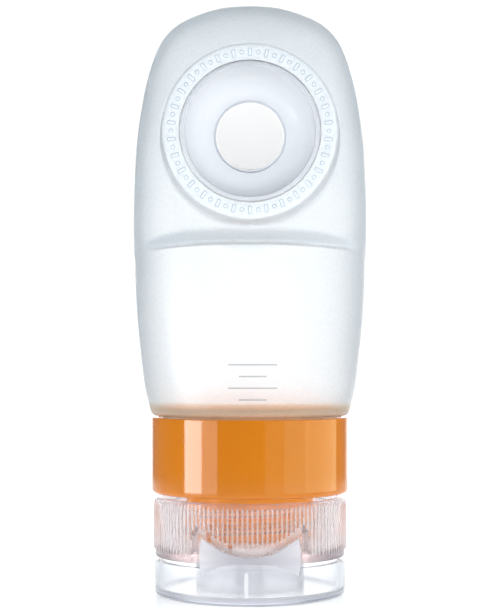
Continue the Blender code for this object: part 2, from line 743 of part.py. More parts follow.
def make_cap_base(parts, cutters):
    deck_cup = VALVE_CUP_RADIUS + VALVE_CUP_WALL
    cup_top = DECK_TOP + SEAT_GAP + VALVE_FLANGE + SEAT_GAP + RETAINER_HEIGHT
    socket_top = CAP_TOP - SOCKET_RECESS
    cap = turned(
        "cap_base",
        [
            (CAP_RADIUS - CAP_EDGE, CAP_TOP),
            (CAP_RADIUS, CAP_TOP - CAP_EDGE),
            (CAP_RADIUS, CAP_BOTTOM),
            (ORIFICE_RADIUS, CAP_BOTTOM),
            (ORIFICE_RADIUS, DECK_TOP),
            (VALVE_CUP_RADIUS, DECK_TOP),
            (VALVE_CUP_RADIUS, cup_top),
            (deck_cup, cup_top),
            (deck_cup, DECK_TOP),
            (SOCKET_BORE, DECK_TOP),
            (SOCKET_BORE, socket_top),
            (SOCKET_RADIUS, socket_top),
            (SOCKET_RADIUS, DECK_TOP),
            (CAP_BORE, DECK_TOP),
            (CAP_BORE, CAP_TOP),
        ],
        ROUND_STEPS,
        parts,
    )
    ribs = mesh_object("skirt_ribs", ribbed_band, cutters)
    pad_top = DECK_TOP + PAD_HEIGHT
    pad_in = (SOCKET_BORE + SOCKET_RADIUS) / 2
    pad_out = (CAP_BORE + CAP_RADIUS) / 2
    pad = turned(
        "lip_pad",
        [(pad_out, pad_top), (pad_out, CAP_BOTTOM + CAP_EDGE), (pad_in, CAP_BOTTOM + CAP_EDGE), (pad_in, pad_top)],
        ROUND_STEPS,
        cutters,
    )
    front_half = box(
        "pad_limit",
        (-PAD_HALF_WIDTH, -CAP_RADIUS - CUT_OVERRUN, 0),
        (PAD_HALF_WIDTH, 0, CAP_TOP),
        cutters,
    )
    keep_inside(pad, front_half)
    pocket = turned(
        "lip_pocket",
        [
            (RIB_RADIUS + CUT_OVERRUN, CAP_TOP),
            (RIB_RADIUS + CUT_OVERRUN, 0),
            (POCKET_RADIUS, 0),
            (POCKET_RADIUS, CAP_TOP),
        ],
        ROUND_STEPS,
        cutters,
    )
    side = LIP_HALF_WIDTH + LIP_BULGE + SEAT_GAP
    foot = CAP_BOTTOM - CUT_OVERRUN
    outline = [(-side, foot), *smile(SEAT_GAP, side), (side, foot)]
    keep_inside(pocket, plate("pocket_outline", outline, -RIB_RADIUS - 2 * CUT_OVERRUN, 0, cutters))
    bevel = mesh_object("thumb_bevel", thumb_bevel, cutters)
    ridge = thread(
        "cap_thread",
        SOCKET_BORE + THREAD_SINK,
        SOCKET_BORE - THREAD_HEIGHT,
        CAP_THREAD_FIRST_TURN,
        NECK_THREAD_TURNS,
        NECK_BOTTOM + THREAD_START - THREAD_PITCH / 2,
        cutters,
    )
    lug = box(
        "cap_hinge_lug",
        (-HINGE_HALF_WIDTH, CAP_RADIUS - HINGE_LUG_DEPTH, CAP_BOTTOM),
        (HINGE_HALF_WIDTH, HINGE_AXIS_Y, CAP_BOTTOM + HINGE_LUG_HEIGHT),
        cutters,
    )
    join(cap, ribs, pad, ridge, lug)
    cut(cap, pocket, bevel)
    return cap


def make_slit_valve(parts, cutters):
    head_radius = ORIFICE_RADIUS - SEAT_GAP
    flange_radius = VALVE_CUP_RADIUS - SEAT_GAP
    flange_bottom = DECK_TOP + SEAT_GAP
    flange_top = flange_bottom + VALVE_FLANGE
    head_bottom = flange_bottom - VALVE_HEAD
    hollow_radius = head_radius - VALVE_HEAD_WALL
    valve = turned(
        "slit_valve",
        [
            (0, flange_bottom),
            (hollow_radius, flange_bottom),
            (hollow_radius, flange_top),
            (flange_radius, flange_top),
            (flange_radius, flange_bottom),
            (head_radius, flange_bottom),
            (head_radius, head_bottom),
            (0, head_bottom),
        ],
        INNER_STEPS,
        parts,
    )
    half_length = head_radius - SLIT_SETBACK
    half_width = SLIT_WIDTH / 2
    low = head_bottom - CUT_OVERRUN
    high = flange_bottom + CUT_OVERRUN
    slit = box("slit_across", (-half_length, -half_width, low), (half_length, half_width, high), cutters)
    other = box("slit_along", (-half_width, -half_length, low), (half_width, half_length, high), cutters)
    join(slit, other)
    cut(valve, slit)
    return valve


def make_valve_retainer(parts):
    bottom = DECK_TOP + SEAT_GAP + VALVE_FLANGE + SEAT_GAP
    top = bottom + RETAINER_HEIGHT
    outer = VALVE_CUP_RADIUS - SEAT_GAP
    bore = RETAINER_BORE
    profile = [(outer, top), (outer, bottom), (bore, bottom), (bore, top)]
    return turned("valve_retainer", profile, INNER_STEPS, parts)


def make_cap_gasket(parts):
    profile = [
        (GASKET_RADIUS, GASKET_TOP),
        (GASKET_RADIUS, GASKET_BOTTOM),
        (GASKET_BORE, GASKET_BOTTOM),
        (GASKET_BORE, GASKET_TOP),
    ]
    return turned("cap_gasket", profile, INNER_STEPS, parts)


def make_flip_lid(parts, cutters):
    rounding = LID_EDGE_ROUNDING
    inside = LID_RADIUS - LID_WALL
    ring_bore = LID_RING_RADIUS - LID_RING_WALL
    ring_top = CAP_BOTTOM - SEAT_GAP
    plug_top = DECK_TOP + SEAT_GAP - VALVE_HEAD - SEAT_GAP
    lid = turned(
        "flip_lid",
        [
            (0, LID_PLATE),
            (PLUG_BORE, LID_PLATE),
            (PLUG_BORE, plug_top),
            (PLUG_RADIUS, plug_top),
            (PLUG_RADIUS, LID_PLATE),
            (ring_bore, LID_PLATE),
            (ring_bore, ring_top),
            (LID_RING_RADIUS, ring_top),
            (LID_RING_RADIUS, LID_PLATE),
            (inside, LID_PLATE),
            (inside, LID_HEIGHT),
            (LID_RADIUS, LID_HEIGHT),
            *arc((LID_RADIUS - rounding, rounding), rounding, 0, -90, 4),
            (0, 0),
        ],
        ROUND_STEPS,
        parts,
    )
    lip = turned(
        "lip_relief",
        [
            (LIP_OUTER_RADIUS, LIP_TOP),
            (LIP_OUTER_RADIUS, LIP_BOTTOM),
            (LIP_INNER_RADIUS, LIP_BOTTOM),
            (LIP_INNER_RADIUS, LIP_TOP),
        ],
        ROUND_STEPS,
        cutters,
    )
    front = -LIP_OUTER_RADIUS - CUT_OVERRUN
    keep_inside(lip, plate("bow_tie_outline", bow_tie(), front, 0, cutters))
    tongue_radius = LIP_OUTER_RADIUS - TONGUE_SETBACK
    tongue = turned(
        "lip_tongue",
        [
            (tongue_radius, LIP_TOP),
            (tongue_radius, LIP_BOTTOM),
            (LIP_INNER_RADIUS + TONGUE_INSET, LIP_BOTTOM),
            (LIP_INNER_RADIUS + TONGUE_INSET, LIP_TOP),
        ],
        ROUND_STEPS,
        cutters,
    )
    side = LIP_HALF_WIDTH - TONGUE_INSET
    foot = LIP_BOTTOM + TONGUE_INSET
    outline = [(-side, foot), *smile(-TONGUE_INSET, side), (side, foot)]
    keep_inside(tongue, plate("tongue_outline", outline, front, 0, cutters))
    gusset = box(
        "lid_gusset",
        (-GUSSET_OFFSET - GUSSET_WIDTH / 2, -inside - LID_WALL / 2, LID_PLATE / 2),
        (-GUSSET_OFFSET + GUSSET_WIDTH / 2, -inside + GUSSET_DEPTH, LID_HEIGHT - GUSSET_DROP),
        cutters,
    )
    lug = box(
        "lid_hinge_lug",
        (-HINGE_HALF_WIDTH, LID_RADIUS - HINGE_LUG_DEPTH, LID_HEIGHT - HINGE_LUG_HEIGHT),
        (HINGE_HALF_WIDTH, HINGE_AXIS_Y, LID_HEIGHT),
        cutters,
    )
    join(lid, tongue, lip, gusset, lug)
    return lid


def settle(parts):
    """Gives each piece its finished mesh in place of its modifiers, shaded smooth but for its edges."""
    graph = bpy.context.evaluated_depsgraph_get()
    finished = {obj: bpy.data.meshes.new_from_object(obj.evaluated_get(graph)) for obj in parts.objects}
    for obj, mesh in finished.items():
        obj.modifiers.clear()
        obj.data = mesh
        mesh.name = obj.name
        mesh.shade_smooth()
        mesh.set_sharp_from_angle(angle=SMOOTH_ANGLE)


def hide_cutters(cutters):
    for obj in cutters.objects:
        obj.hide_render = True
        obj.display_type = "WIRE"


def paint(parts):
    """Each piece gets a material of its own."""
    silicone = (0.86, 0.90, 0.92)
    orange = (0.80, 0.29, 0.035)
    clear = (0.93, 0.90, 0.92)
    looks = {
        "squeeze_body": (silicone, 0.45, 0.6, 0.6),
        "suction_cup": ((0.90, 0.91, 0.94), 0.25, 0.7, 0.6),
        "neck_insert": (orange, 0.30, 0.0, 1.0),
        "marker_ring": ((0.90, 0.89, 0.86), 0.40, 0.0, 1.0),
        "collar_ring": (orange, 0.18, 0.0, 1.0),
        "cap_base": (clear, 0.08, 0.9, 0.4),
        "slit_valve": ((0.92, 0.92, 0.92), 0.45, 0.4, 0.8),
        "valve_retainer": (clear, 0.15, 0.8, 0.5),
        "cap_gasket": ((0.93, 0.92, 0.90), 0.50, 0.1, 0.9),
        "flip_lid": ((0.90, 0.92, 0.96), 0.06, 0.9, 0.4),
    }
    for obj in parts.objects:
        color, roughness, transmission, alpha = looks[obj.name]
        obj.data.materials.clear()
        obj.data.materials.append(material(obj.name, color, roughness, transmission, alpha))


def pivot(name, place, parts):
    empty = add_object(name, None, parts)
    empty.location = place
    return empty


def carry(pivot_empty, obj):
    obj.parent = pivot_empty
    obj.matrix_parent_inverse = pivot_empty.matrix_world.inverted()


def main():
    clear_scene()
    parts = new_collection("travel_squeeze_tube")
    cutters = new_collection("cutters")
    rig = new_collection("pivots")
    make_body(parts, cutters)
    make_suction_cup(parts)
    make_neck_insert(parts, cutters)
    make_marker_ring(parts)
    collar = make_collar_ring(parts, cutters)
    cap = make_cap_base(parts, cutters)
    valve = make_slit_valve(parts, cutters)
    retainer = make_valve_retainer(parts)
    gasket = make_cap_gasket(parts)
    lid = make_flip_lid(parts, cutters)
    bpy.context.view_layer.update()
    settle(parts)
    hide_cutters(cutters)
    paint(parts)
    collar_axis = pivot("collar_axis", (0, 0, COLLAR_BOTTOM), rig)
    screw_axis = pivot("screw_axis", (0, 0, CAP_TOP), rig)
    hinge_axis = pivot("hinge_axis", (0, HINGE_AXIS_Y, HINGE_AXIS_Z), rig)
    bpy.context.view_layer.update()
    carry(collar_axis, collar)
    for obj in (cap, valve, retainer, gasket, hinge_axis):
        carry(screw_axis, obj)
    carry(hinge_axis, lid)
    bpy.context.view_layer.update()


main()
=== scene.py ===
"""Looks of the travel squeeze tube: its fine pieces and finishes, the studio and the camera."""

import math

import bmesh
import bpy
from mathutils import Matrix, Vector


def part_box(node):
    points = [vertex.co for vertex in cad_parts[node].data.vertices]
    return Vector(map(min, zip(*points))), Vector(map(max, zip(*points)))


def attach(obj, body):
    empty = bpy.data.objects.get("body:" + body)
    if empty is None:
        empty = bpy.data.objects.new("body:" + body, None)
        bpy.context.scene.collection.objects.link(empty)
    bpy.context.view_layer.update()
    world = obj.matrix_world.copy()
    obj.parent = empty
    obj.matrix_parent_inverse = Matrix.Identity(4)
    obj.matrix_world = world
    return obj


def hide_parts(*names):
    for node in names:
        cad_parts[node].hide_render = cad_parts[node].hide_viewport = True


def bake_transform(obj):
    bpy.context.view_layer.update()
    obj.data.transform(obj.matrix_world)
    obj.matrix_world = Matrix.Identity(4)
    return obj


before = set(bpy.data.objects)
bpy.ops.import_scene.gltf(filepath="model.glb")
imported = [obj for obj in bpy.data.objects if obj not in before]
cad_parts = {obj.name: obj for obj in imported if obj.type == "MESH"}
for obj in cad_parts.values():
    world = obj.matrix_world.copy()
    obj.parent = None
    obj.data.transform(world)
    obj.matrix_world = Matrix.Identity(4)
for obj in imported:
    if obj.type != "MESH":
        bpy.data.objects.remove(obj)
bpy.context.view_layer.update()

MM = 0.001
FULL_TURN = 2 * math.pi

# Sizes, in millimetres

CROWN = 117.3
BODY_TALL = 82.1
BODY_HALF_WIDTH = 23.2
BODY_HALF_DEPTH = 19.7
BODY_FOOT = 19.6
STEP_CLIMB = 2.2
SOFT_NECK = 17.0
SOFT_NECK_END = 23.2
WALL = 1.6

CUP_FACE = 20.0
CUP_MIDDLE = 89.386
RAISED = 0.25
RING_INSIDE = 13.4
RING_OUTSIDE = 16.6
MARK_INSIDE = 14.0
MARK_OUTSIDE = 15.6
SOCKET_DEEP = 9.9
SOCKET_FLOOR = 8.5
SOCKET_WALL = 0.8

COLLAR_TOP = 35.2
COLLAR_FOOT = 20.2
COLLAR_RADIUS = 19.6
COLLAR_INSIDE = 18.3
COLLAR_LEDGE = 17.2
WINDOW_MIDDLE = 27.7

NECK_TOP = 38.3
NECK_FOOT = 11.5
NECK_RADIUS = 12.7
NECK_BORE = 11.2
SLEEVE_RADIUS = 15.1
SLEEVE_BORE = 13.9
THREAD_PITCH = 3.2
THREAD_STEPS = 72

CAP_TOP = 19.4
CAP_FOOT = 7.8
CAP_DECK = 9.3
CAP_RADIUS = 18.9
CAP_INSIDE = 17.4
CAP_BORE = 13.9
RIBS = 126
RIB_POINTS = 6
RIB_CREST = 19.2
RIB_SHOULDER = 19.16
POCKET_HALF_WIDTH = 9.9
POCKET_FOOT = 5.8
BEYOND = 21.2

LID_RADIUS = 19.0
LID_INSIDE = 17.5
LID_FLOOR = 1.5
LID_TOP = 7.0
LIP_HALF_WIDTH = 9.2
LIP_FACE = 19.4
LIP_FOOT = 5.6
LIP_MIDDLE = 9.2
LIP_RISE = 3.6
LIP_TOP = 12.8
LUG_HALF_WIDTH = 4.5
LUG_OUT = 19.8


# Ways of working


def rest_tools():
    """Leaves edit mode with nothing selected."""
    if bpy.context.object and bpy.context.object.mode != "OBJECT":
        bpy.ops.object.mode_set(mode="OBJECT")
    bpy.ops.object.select_all(action="DESELECT")


def pick(obj):
    rest_tools()
    obj.select_set(True)
    bpy.context.view_layer.objects.active = obj


def finish_with(obj, kind, **settings):
    """Adds a modifier, sets it and applies it."""
    pick(obj)
    modifier = obj.modifiers.new(kind.title(), kind)
    for key, value in settings.items():
        setattr(modifier, key, value)
    bpy.ops.object.modifier_apply(modifier=modifier.name)


def round_off(obj, width):
    """Rounds the sharp edges by a width in millimetres."""
    limit = math.radians(50)
    finish_with(obj, "BEVEL", width=width * MM, segments=2, limit_method="ANGLE", angle_limit=limit)


def combine(obj, operation, *tools):
    """Joins, cuts or keeps what is shared with each tool in turn, and takes the tools away."""
    for tool in tools:
        finish_with(obj, "BOOLEAN", operation=operation, solver="EXACT", object=tool)
        bpy.data.objects.remove(tool, do_unlink=True)


def set_in_place(obj):
    pick(obj)
    bpy.ops.object.transform_apply(location=True, rotation=True, scale=True)


def smooth(obj, degrees):
    pick(obj)
    bpy.ops.object.shade_smooth_by_angle(angle=math.radians(degrees))


def first_point(name, place):
    """A single point at a place, selected in edit mode, to extrude from."""
    rest_tools()
    bpy.ops.mesh.primitive_plane_add(size=MM, location=place)
    obj = bpy.context.object
    obj.name = obj.data.name = name
    bpy.ops.object.mode_set(mode="EDIT")
    bpy.ops.mesh.merge(type="CENTER")
    return obj


def extrude_along(points):
    """Extrudes what is selected from each point to the next one."""
    for here, there in zip(points, points[1:]):
        step = Vector(there) - Vector(here)
        bpy.ops.mesh.extrude_region_move(TRANSFORM_OT_translate={"value": step})


def clean_up():
    bpy.ops.mesh.select_all(action="SELECT")
    bpy.ops.mesh.remove_doubles(threshold=0.000001)
    bpy.ops.mesh.normals_make_consistent(inside=False)


def weld(obj):
    """Joins points that a cut has left side by side."""
    pick(obj)
    bpy.ops.object.mode_set(mode="EDIT")
    bpy.ops.mesh.select_all(action="SELECT")
    bpy.ops.mesh.remove_doubles(threshold=0.000002)
    rest_tools()


def spun(name, points, steps, centre, axis):
    """Draws a section point by point and spins it a full turn."""
    obj = first_point(name, points[0])
    if min(math.hypot(*(Vector(p) - Vector(centre)).cross(Vector(axis))) for p in points) > 0.00001:
        points = [*points, points[0]]
    extrude_along(points)
    bpy.ops.mesh.select_all(action="SELECT")
    bpy.ops.mesh.spin(steps=steps, angle=FULL_TURN, center=centre, axis=axis)
    clean_up()
    set_in_place(obj)
    return obj


def turned(name, profile, steps):
    """Turns a (radius, height) profile in millimetres about the tube's own axis."""
    points = [(radius * MM, 0, height * MM) for radius, height in profile]
    return spun(name, points, steps, (0, 0, 0), (0, 0, 1))


def band(name, outside, inside, foot, top):
    """A round wall between two radii and two heights in millimetres."""
    return turned(name, [(outside, top), (outside, foot), (inside, foot), (inside, top)], 192)


def turned_at_cup(name, profile, steps=96):
    """Turns a (radius, height) profile in millimetres about the suction cup's axis."""
    points = [(radius * MM, -CUP_FACE * MM - height * MM, CUP_MIDDLE * MM) for radius, height in profile]
    return spun(name, points, steps, (0, 0, CUP_MIDDLE * MM), (0, 1, 0))


def plate(name, outline, near, far):
    """An outline of (x, z) points in millimetres, extruded along Y."""
    points = [(x * MM, near * MM, z * MM) for x, z in outline]
    obj = first_point(name, points[0])
    extrude_along(points)
    bpy.ops.mesh.select_all(action="SELECT")
    bpy.ops.mesh.edge_face_add()
    bpy.ops.mesh.extrude_region_move(TRANSFORM_OT_translate={"value": (0, (far - near) * MM, 0)})
    clean_up()
    set_in_place(obj)
    return obj


def block(name, low, high):
    """A box between two corners in millimetres."""
    rest_tools()
    low, high = Vector(low) * MM, Vector(high) * MM
    bpy.ops.mesh.primitive_cube_add(size=1, location=(low + high) / 2, scale=high - low)
    obj = bpy.context.object
    obj.name = obj.data.name = name
    set_in_place(obj)
    return obj


def skinned(name, rings):
    """Skins a row of equal rings of points in millimetres, and closes both ends."""
    mesh = bpy.data.meshes.new(name)
    count = len(rings[0])
    points = [Vector(point) * MM for ring in rings for point in ring]
    faces = []
    for row in range(len(rings) - 1):
        for index in range(count):
            after = (index + 1) % count
            here, there = row * count, (row + 1) * count
            faces.append((here + index, here + after, there + after, there + index))
    faces.append(tuple(reversed(range(count))))
    faces.append(tuple(range((len(rings) - 1) * count, len(rings) * count)))
    mesh.from_pydata(points, [], faces)
    obj = bpy.data.objects.new(name, mesh)
    bpy.context.scene.collection.objects.link(obj)
    pick(obj)
    bpy.ops.object.mode_set(mode="EDIT")
    clean_up()
    rest_tools()
    return obj


def arc(centre, radius, start, end, count):
    """Points on an arc round (radius, height), between two angles in degrees."""
    angles = [math.radians(start + (end - start) * index / (count - 1)) for index in range(count)]
    return [(centre[0] + radius * math.cos(a), centre[1] + radius * math.sin(a)) for a in angles]


def thread_ridge(name, root, crest, low, first_turn, last_turn):
    """A ridge of the screw thread, which climbs to the right and sinks away at both ends."""
    half_root = 0.7
    half_crest = 0.35
    crown = 0.1 if crest > root else -0.1
    run_out = 1 / 8
    least = 0.15
    count = round((last_turn - first_turn) * THREAD_STEPS)
    rings = []
    for index in range(count + 1):
        turn = first_turn + (last_turn - first_turn) * index / count
        fade = min(1, index / count / run_out, (count - index) / count / run_out)
        peak = root + (crest - root) * (least + (1 - least) * fade)
        middle = low + turn * THREAD_PITCH
        section = (
            (root, half_root),
            (root, -half_root),
            (peak, -half_crest),
            (peak + crown * fade, 0),
            (peak, half_crest),
        )
        angle = FULL_TURN * turn
        rings.append([(r * math.cos(angle), r * math.sin(angle), middle + h) for r, h in section])
    return skinned(name, rings)


# Finishes


def shader_of(name):
    made = bpy.data.materials.new(name)
    made.use_nodes = True
    nodes = made.node_tree.nodes
    return made, nodes, made.node_tree.links, nodes["Principled BSDF"]


def set_sockets(shader, **values):
    for key, value in values.items():
        shader.inputs[key.replace("_", " ").title().replace("Ior", "IOR")].default_value = value


def noise(nodes, links, scale, detail, roughness=0.5, stretch=(1, 1, 1)):
    place = nodes.new("ShaderNodeTexCoord")
    mapping = nodes.new("ShaderNodeMapping")
    mapping.inputs["Scale"].default_value = stretch
    texture = nodes.new("ShaderNodeTexNoise")
    texture.inputs["Scale"].default_value = scale
    texture.inputs["Detail"].default_value = detail
    texture.inputs["Roughness"].default_value = roughness
    links.new(place.outputs["Object"], mapping.inputs["Vector"])
    links.new(mapping.outputs["Vector"], texture.inputs["Vector"])
    return texture.outputs["Fac"]


def ramp(nodes, links, factor, low, high, start=0.35, end=0.65):
    """Maps a pattern to values or colours between low and high."""
    node = nodes.new("ShaderNodeValToRGB")
    node.color_ramp.elements[0].position = start
    node.color_ramp.elements[1].position = end
    node.color_ramp.elements[0].color = low if isinstance(low, tuple) else (low, low, low, 1)
    node.color_ramp.elements[1].color = high if isinstance(high, tuple) else (high, high, high, 1)
    links.new(factor, node.inputs["Fac"])
    return node.outputs["Color"]


def bump(nodes, links, shader, height, distance, strength):
    node = nodes.new("ShaderNodeBump")
    node.inputs["Distance"].default_value = distance
    node.inputs["Strength"].default_value = strength
    links.new(height, node.inputs["Height"])
    links.new(node.outputs["Normal"], shader.inputs["Normal"])


def faded(nodes, links, value, nothing, full):
    """Runs smoothly from 0 to 1 as a value goes from one limit to the other."""
    edge = nodes.new("ShaderNodeMapRange")
    edge.interpolation_type = "SMOOTHSTEP"
    edge.inputs["From Min"].default_value = nothing
    edge.inputs["From Max"].default_value = full
    links.new(value, edge.inputs["Value"])
    return edge.outputs["Result"]


def mixed(nodes, links, factor, low, high, blend="MIX"):
    """Mixes two colours, either of which may come from another node."""
    node = nodes.new("ShaderNodeMix")
    node.data_type = "RGBA"
    node.blend_type = blend
    if isinstance(factor, float):
        node.inputs["Factor"].default_value = factor
    else:
        links.new(factor, node.inputs["Factor"])
    for socket, colour in (("A", low), ("B", high)):
        if isinstance(colour, tuple):
            node.inputs[socket].default_value = (*colour, 1)
        else:
            links.new(colour, node.inputs[socket])
    return node.outputs["Result"]


def worked_out(nodes, links, operation, first, second=None):
    node = nodes.new("ShaderNodeMath")
    node.operation = operation
    links.new(first, node.inputs[0])
    if isinstance(second, float):
        node.inputs[1].default_value = second
    elif second:
        links.new(second, node.inputs[1])
    return node.outputs[0]


def place_along(nodes, links, axis, coordinates="Object"):
    """How far along one axis a point or a direction lies."""
    place = nodes.new("ShaderNodeTexCoord")
    parts = nodes.new("ShaderNodeSeparateXYZ")
    links.new(place.outputs[coordinates], parts.inputs["Vector"])
    return parts.outputs[axis]


def absorbing(made, colour, density):
    """Tints light by how far it goes through the wall."""
    nodes, links = made.node_tree.nodes, made.node_tree.links
    volume = nodes.new("ShaderNodeVolumeAbsorption")
    volume.inputs["Color"].default_value = (*colour, 1)
    volume.inputs["Density"].default_value = density
    links.new(volume.outputs["Volume"], nodes["Material Output"].inputs["Volume"])


def frosted_silicone(name, clearness):
    """Silicone from a sandblasted mould: milky, see-through and finely speckled, with a painted warm glow
    by the collar where the orange neck shows through.
    """
    made, nodes, links, shader = shader_of(name)
    set_sockets(shader, ior=1.41, transmission_weight=clearness)
    # Painted light: below these heights the base colour turns warm orange, a painted glow of the orange
    # neck showing through the wall.
    warm_to = (COLLAR_TOP + 1.9) * MM
    milky_from = (COLLAR_TOP + 3.3) * MM
    foot = faded(nodes, links, place_along(nodes, links, "Z"), warm_to, milky_from)
    base = ramp(nodes, links, foot, (0.85, 0.71, 0.55, 1), (0.98, 0.985, 0.99, 1), 0.0, 1.0)
    grain = ramp(nodes, links, noise(nodes, links, 1900, 1.0), 0.93, 1.0)
    links.new(mixed(nodes, links, 1.0, base, grain, "MULTIPLY"), shader.inputs["Base Color"])
    links.new(ramp(nodes, links, noise(nodes, links, 900, 4.0), 0.34, 0.42), shader.inputs["Roughness"])
    bump(nodes, links, shader, noise(nodes, links, 2600, 2.0), 0.00004, 0.08)
    absorbing(made, (0.63, 0.75, 0.81), 48)
    return made


def clear_silicone():
    """The cup's polished silicone, with the faint flow lines of its mould."""
    made, nodes, links, shader = shader_of("clear_silicone")
    set_sockets(shader, ior=1.38, transmission_weight=0.55)
    shader.inputs["Base Color"].default_value = (0.92, 0.93, 0.955, 1)
    links.new(ramp(nodes, links, noise(nodes, links, 700, 3.0), 0.20, 0.26), shader.inputs["Roughness"])
    bump(nodes, links, shader, noise(nodes, links, 160, 2.0), 0.00002, 0.04)
    absorbing(made, (0.60, 0.68, 0.78), 10)
    return made


def orange_plastic(name, low, high):
    """Glossy moulded plastic with a slight swirl of pigment and fine wear."""
    made, nodes, links, shader = shader_of(name)
    set_sockets(shader, ior=1.5, subsurface_weight=0.08)
    shader.inputs["Subsurface Radius"].default_value = (0.0012, 0.0005, 0.0002)
    shader.inputs["Subsurface Scale"].default_value = 1.0
    colour = ramp(nodes, links, noise(nodes, links, 60, 5.0, 0.6, (1, 1, 0.35)), low, high, 0.3, 0.7)
    links.new(colour, shader.inputs["Base Color"])
    links.new(ramp(nodes, links, noise(nodes, links, 800, 6.0), 0.06, 0.10), shader.inputs["Roughness"])
    bump(nodes, links, shader, noise(nodes, links, 170, 2.0), 0.00003, 0.12)
    return made


def painted_crest_highlight(nodes, links, shader, foot, crest, clearness, satin):
    """Makes a wall clear up to one radius and less clear from another, both in millimetres, which paints
    a highlight along the rib crests.
    """
    place = nodes.new("ShaderNodeTexCoord")
    flat = nodes.new("ShaderNodeVectorMath")
    flat.operation = "MULTIPLY"
    flat.inputs[1].default_value = (1, 1, 0)
    out = nodes.new("ShaderNodeVectorMath")
    out.operation = "LENGTH"
    rise = nodes.new("ShaderNodeMapRange")
    rise.inputs["From Min"].default_value = foot * MM
    rise.inputs["From Max"].default_value = crest * MM
    links.new(place.outputs["Object"], flat.inputs[0])
    links.new(flat.outputs["Vector"], out.inputs[0])
    links.new(out.outputs["Value"], rise.inputs["Value"])
    shade = ramp(nodes, links, rise.outputs["Result"], clearness, satin, 0.0, 1.0)
    links.new(shade, shader.inputs["Transmission Weight"])


def clear_plastic(name, colour, tint, density, rough, clearness, crests=None, ior=1.42):
    """Clear moulded plastic, faintly tinted and finely grained, with rib crests made whiter as a painted
    highlight if so asked.
    """
    made, nodes, links, shader = shader_of(name)
    set_sockets(shader, ior=ior, transmission_weight=clearness)
    if crests:
        foot, crest, satin = crests
        painted_crest_highlight(nodes, links, shader, foot, crest, clearness, satin)
    shader.inputs["Base Color"].default_value = (*colour, 1)
    pattern = ramp(nodes, links, noise(nodes, links, 500, 5.0), rough, rough + 0.07)
    links.new(pattern, shader.inputs["Roughness"])
    bump(nodes, links, shader, noise(nodes, links, 900, 2.0), 0.000004, 0.04)
    absorbing(made, tint, density)
    return made


def lip_painted_shade():
    """The lip's plastic, with painted shade that darkens its hollow middle and painted light that whitens
    it towards both ends.
    """
    made = clear_plastic("lip_painted_shade", (0.7, 0.7, 0.7), (0.70, 0.70, 0.80), 20, 0.30, 0.60)
    nodes, links = made.node_tree.nodes, made.node_tree.links
    aside = worked_out(nodes, links, "ABSOLUTE", place_along(nodes, links, "X"))
    reach = nodes.new("ShaderNodeMapRange")
    reach.inputs["From Max"].default_value = LIP_HALF_WIDTH * MM
    links.new(aside, reach.inputs["Value"])
    # Painted shade in the lip's middle and painted light at its ends.
    hollow = (0.60, 0.585, 0.63, 1)
    ends = (0.84, 0.82, 0.85, 1)
    colour = ramp(nodes, links, reach.outputs["Result"], hollow, ends, 0.25, 1.0)
    links.new(colour, nodes["Principled BSDF"].inputs["Base Color"])
    return made


def matte_plastic(name, low, high, rough=0.42):
    made, nodes, links, shader = shader_of(name)
    set_sockets(shader, ior=1.48)
    links.new(ramp(nodes, links, noise(nodes, links, 140, 5.0), low, high), shader.inputs["Base Color"])
    pattern = ramp(nodes, links, noise(nodes, links, 900, 4.0), rough, rough + 0.1)
    links.new(pattern, shader.inputs["Roughness"])
    bump(nodes, links, shader, noise(nodes, links, 1800, 3.0), 0.00003, 0.2)
    return made


CAP_TINT = (0.85, 0.62, 0.66)
CAP_TINTING = 22
CAP_BENDING = 1.28
# Painted highlight: between these two radii the ribs turn less clear, down to this clearness at the
# crests, which whitens them.
RIB_CREST_HIGHLIGHT = (18.98, 19.12, 0.66)

FROSTED = frosted_silicone("frosted_silicone", 0.72)
# Painted light: a whiter, less clear copy of the silicone, which paints light onto the flat ring round
# the cup and onto the ledge above the step.
LIT_RING_AND_LEDGE = frosted_silicone("lit_ring_and_ledge", 0.15)
# Painted shade: dull bluish grey on the side walls of the raised ring marks, which darkens their
# outlines.
MARK_EDGE_SHADE = matte_plastic("mark_edge_shade", (0.52, 0.58, 0.65, 1), (0.60, 0.66, 0.72, 1), 0.3)
LINE_GREY = matte_plastic("line_grey", (0.54, 0.53, 0.52, 1), (0.62, 0.61, 0.60, 1), 0.3)
CLEAR_CUP = clear_silicone()
# Painted shade: dark bluish grey round the edge of the disc's seat, a painted shadow ring round the disc.
SEAT_SHADE = matte_plastic("seat_shade", (0.40, 0.44, 0.50, 1), (0.46, 0.50, 0.56, 1), 0.3)
COLLAR_ORANGE = orange_plastic("collar_orange", (0.65, 0.186, 0.001, 1), (0.70, 0.204, 0.002, 1))
NECK_ORANGE = orange_plastic("neck_orange", (0.88, 0.33, 0.02, 1), (0.94, 0.37, 0.03, 1))
CAP_CLEAR = clear_plastic(
    "cap_clear", (0.96, 0.895, 0.885), CAP_TINT, CAP_TINTING, 0.10, 0.96, RIB_CREST_HIGHLIGHT, CAP_BENDING
)
# Painted reflection: a whiter copy of the cap's plastic for its thread, the pale band where the threads
# meet.
THREAD_GLEAM = clear_plastic(
    "thread_gleam", (0.98, 0.93, 0.90), CAP_TINT, CAP_TINTING, 0.12, 0.80, None, CAP_BENDING
)
# Painted light: a whiter, less clear copy of the cap's plastic that lightens the pocket's floor and side
# walls, which refraction would show dark.
POCKET_PAINTED_LIGHT = clear_plastic(
    "pocket_painted_light", (0.97, 0.92, 0.91), CAP_TINT, CAP_TINTING, 0.24, 0.58, None, CAP_BENDING
)
LID_CLEAR = clear_plastic("lid_clear", (0.98, 0.982, 0.99), (0.66, 0.70, 0.84), 28, 0.07, 0.97)
LID_SATIN = clear_plastic("lid_satin", (0.93, 0.93, 0.965), (0.8, 0.8, 0.9), 10, 0.2, 0.80)
LIP_PAINTED_SHADE = lip_painted_shade()
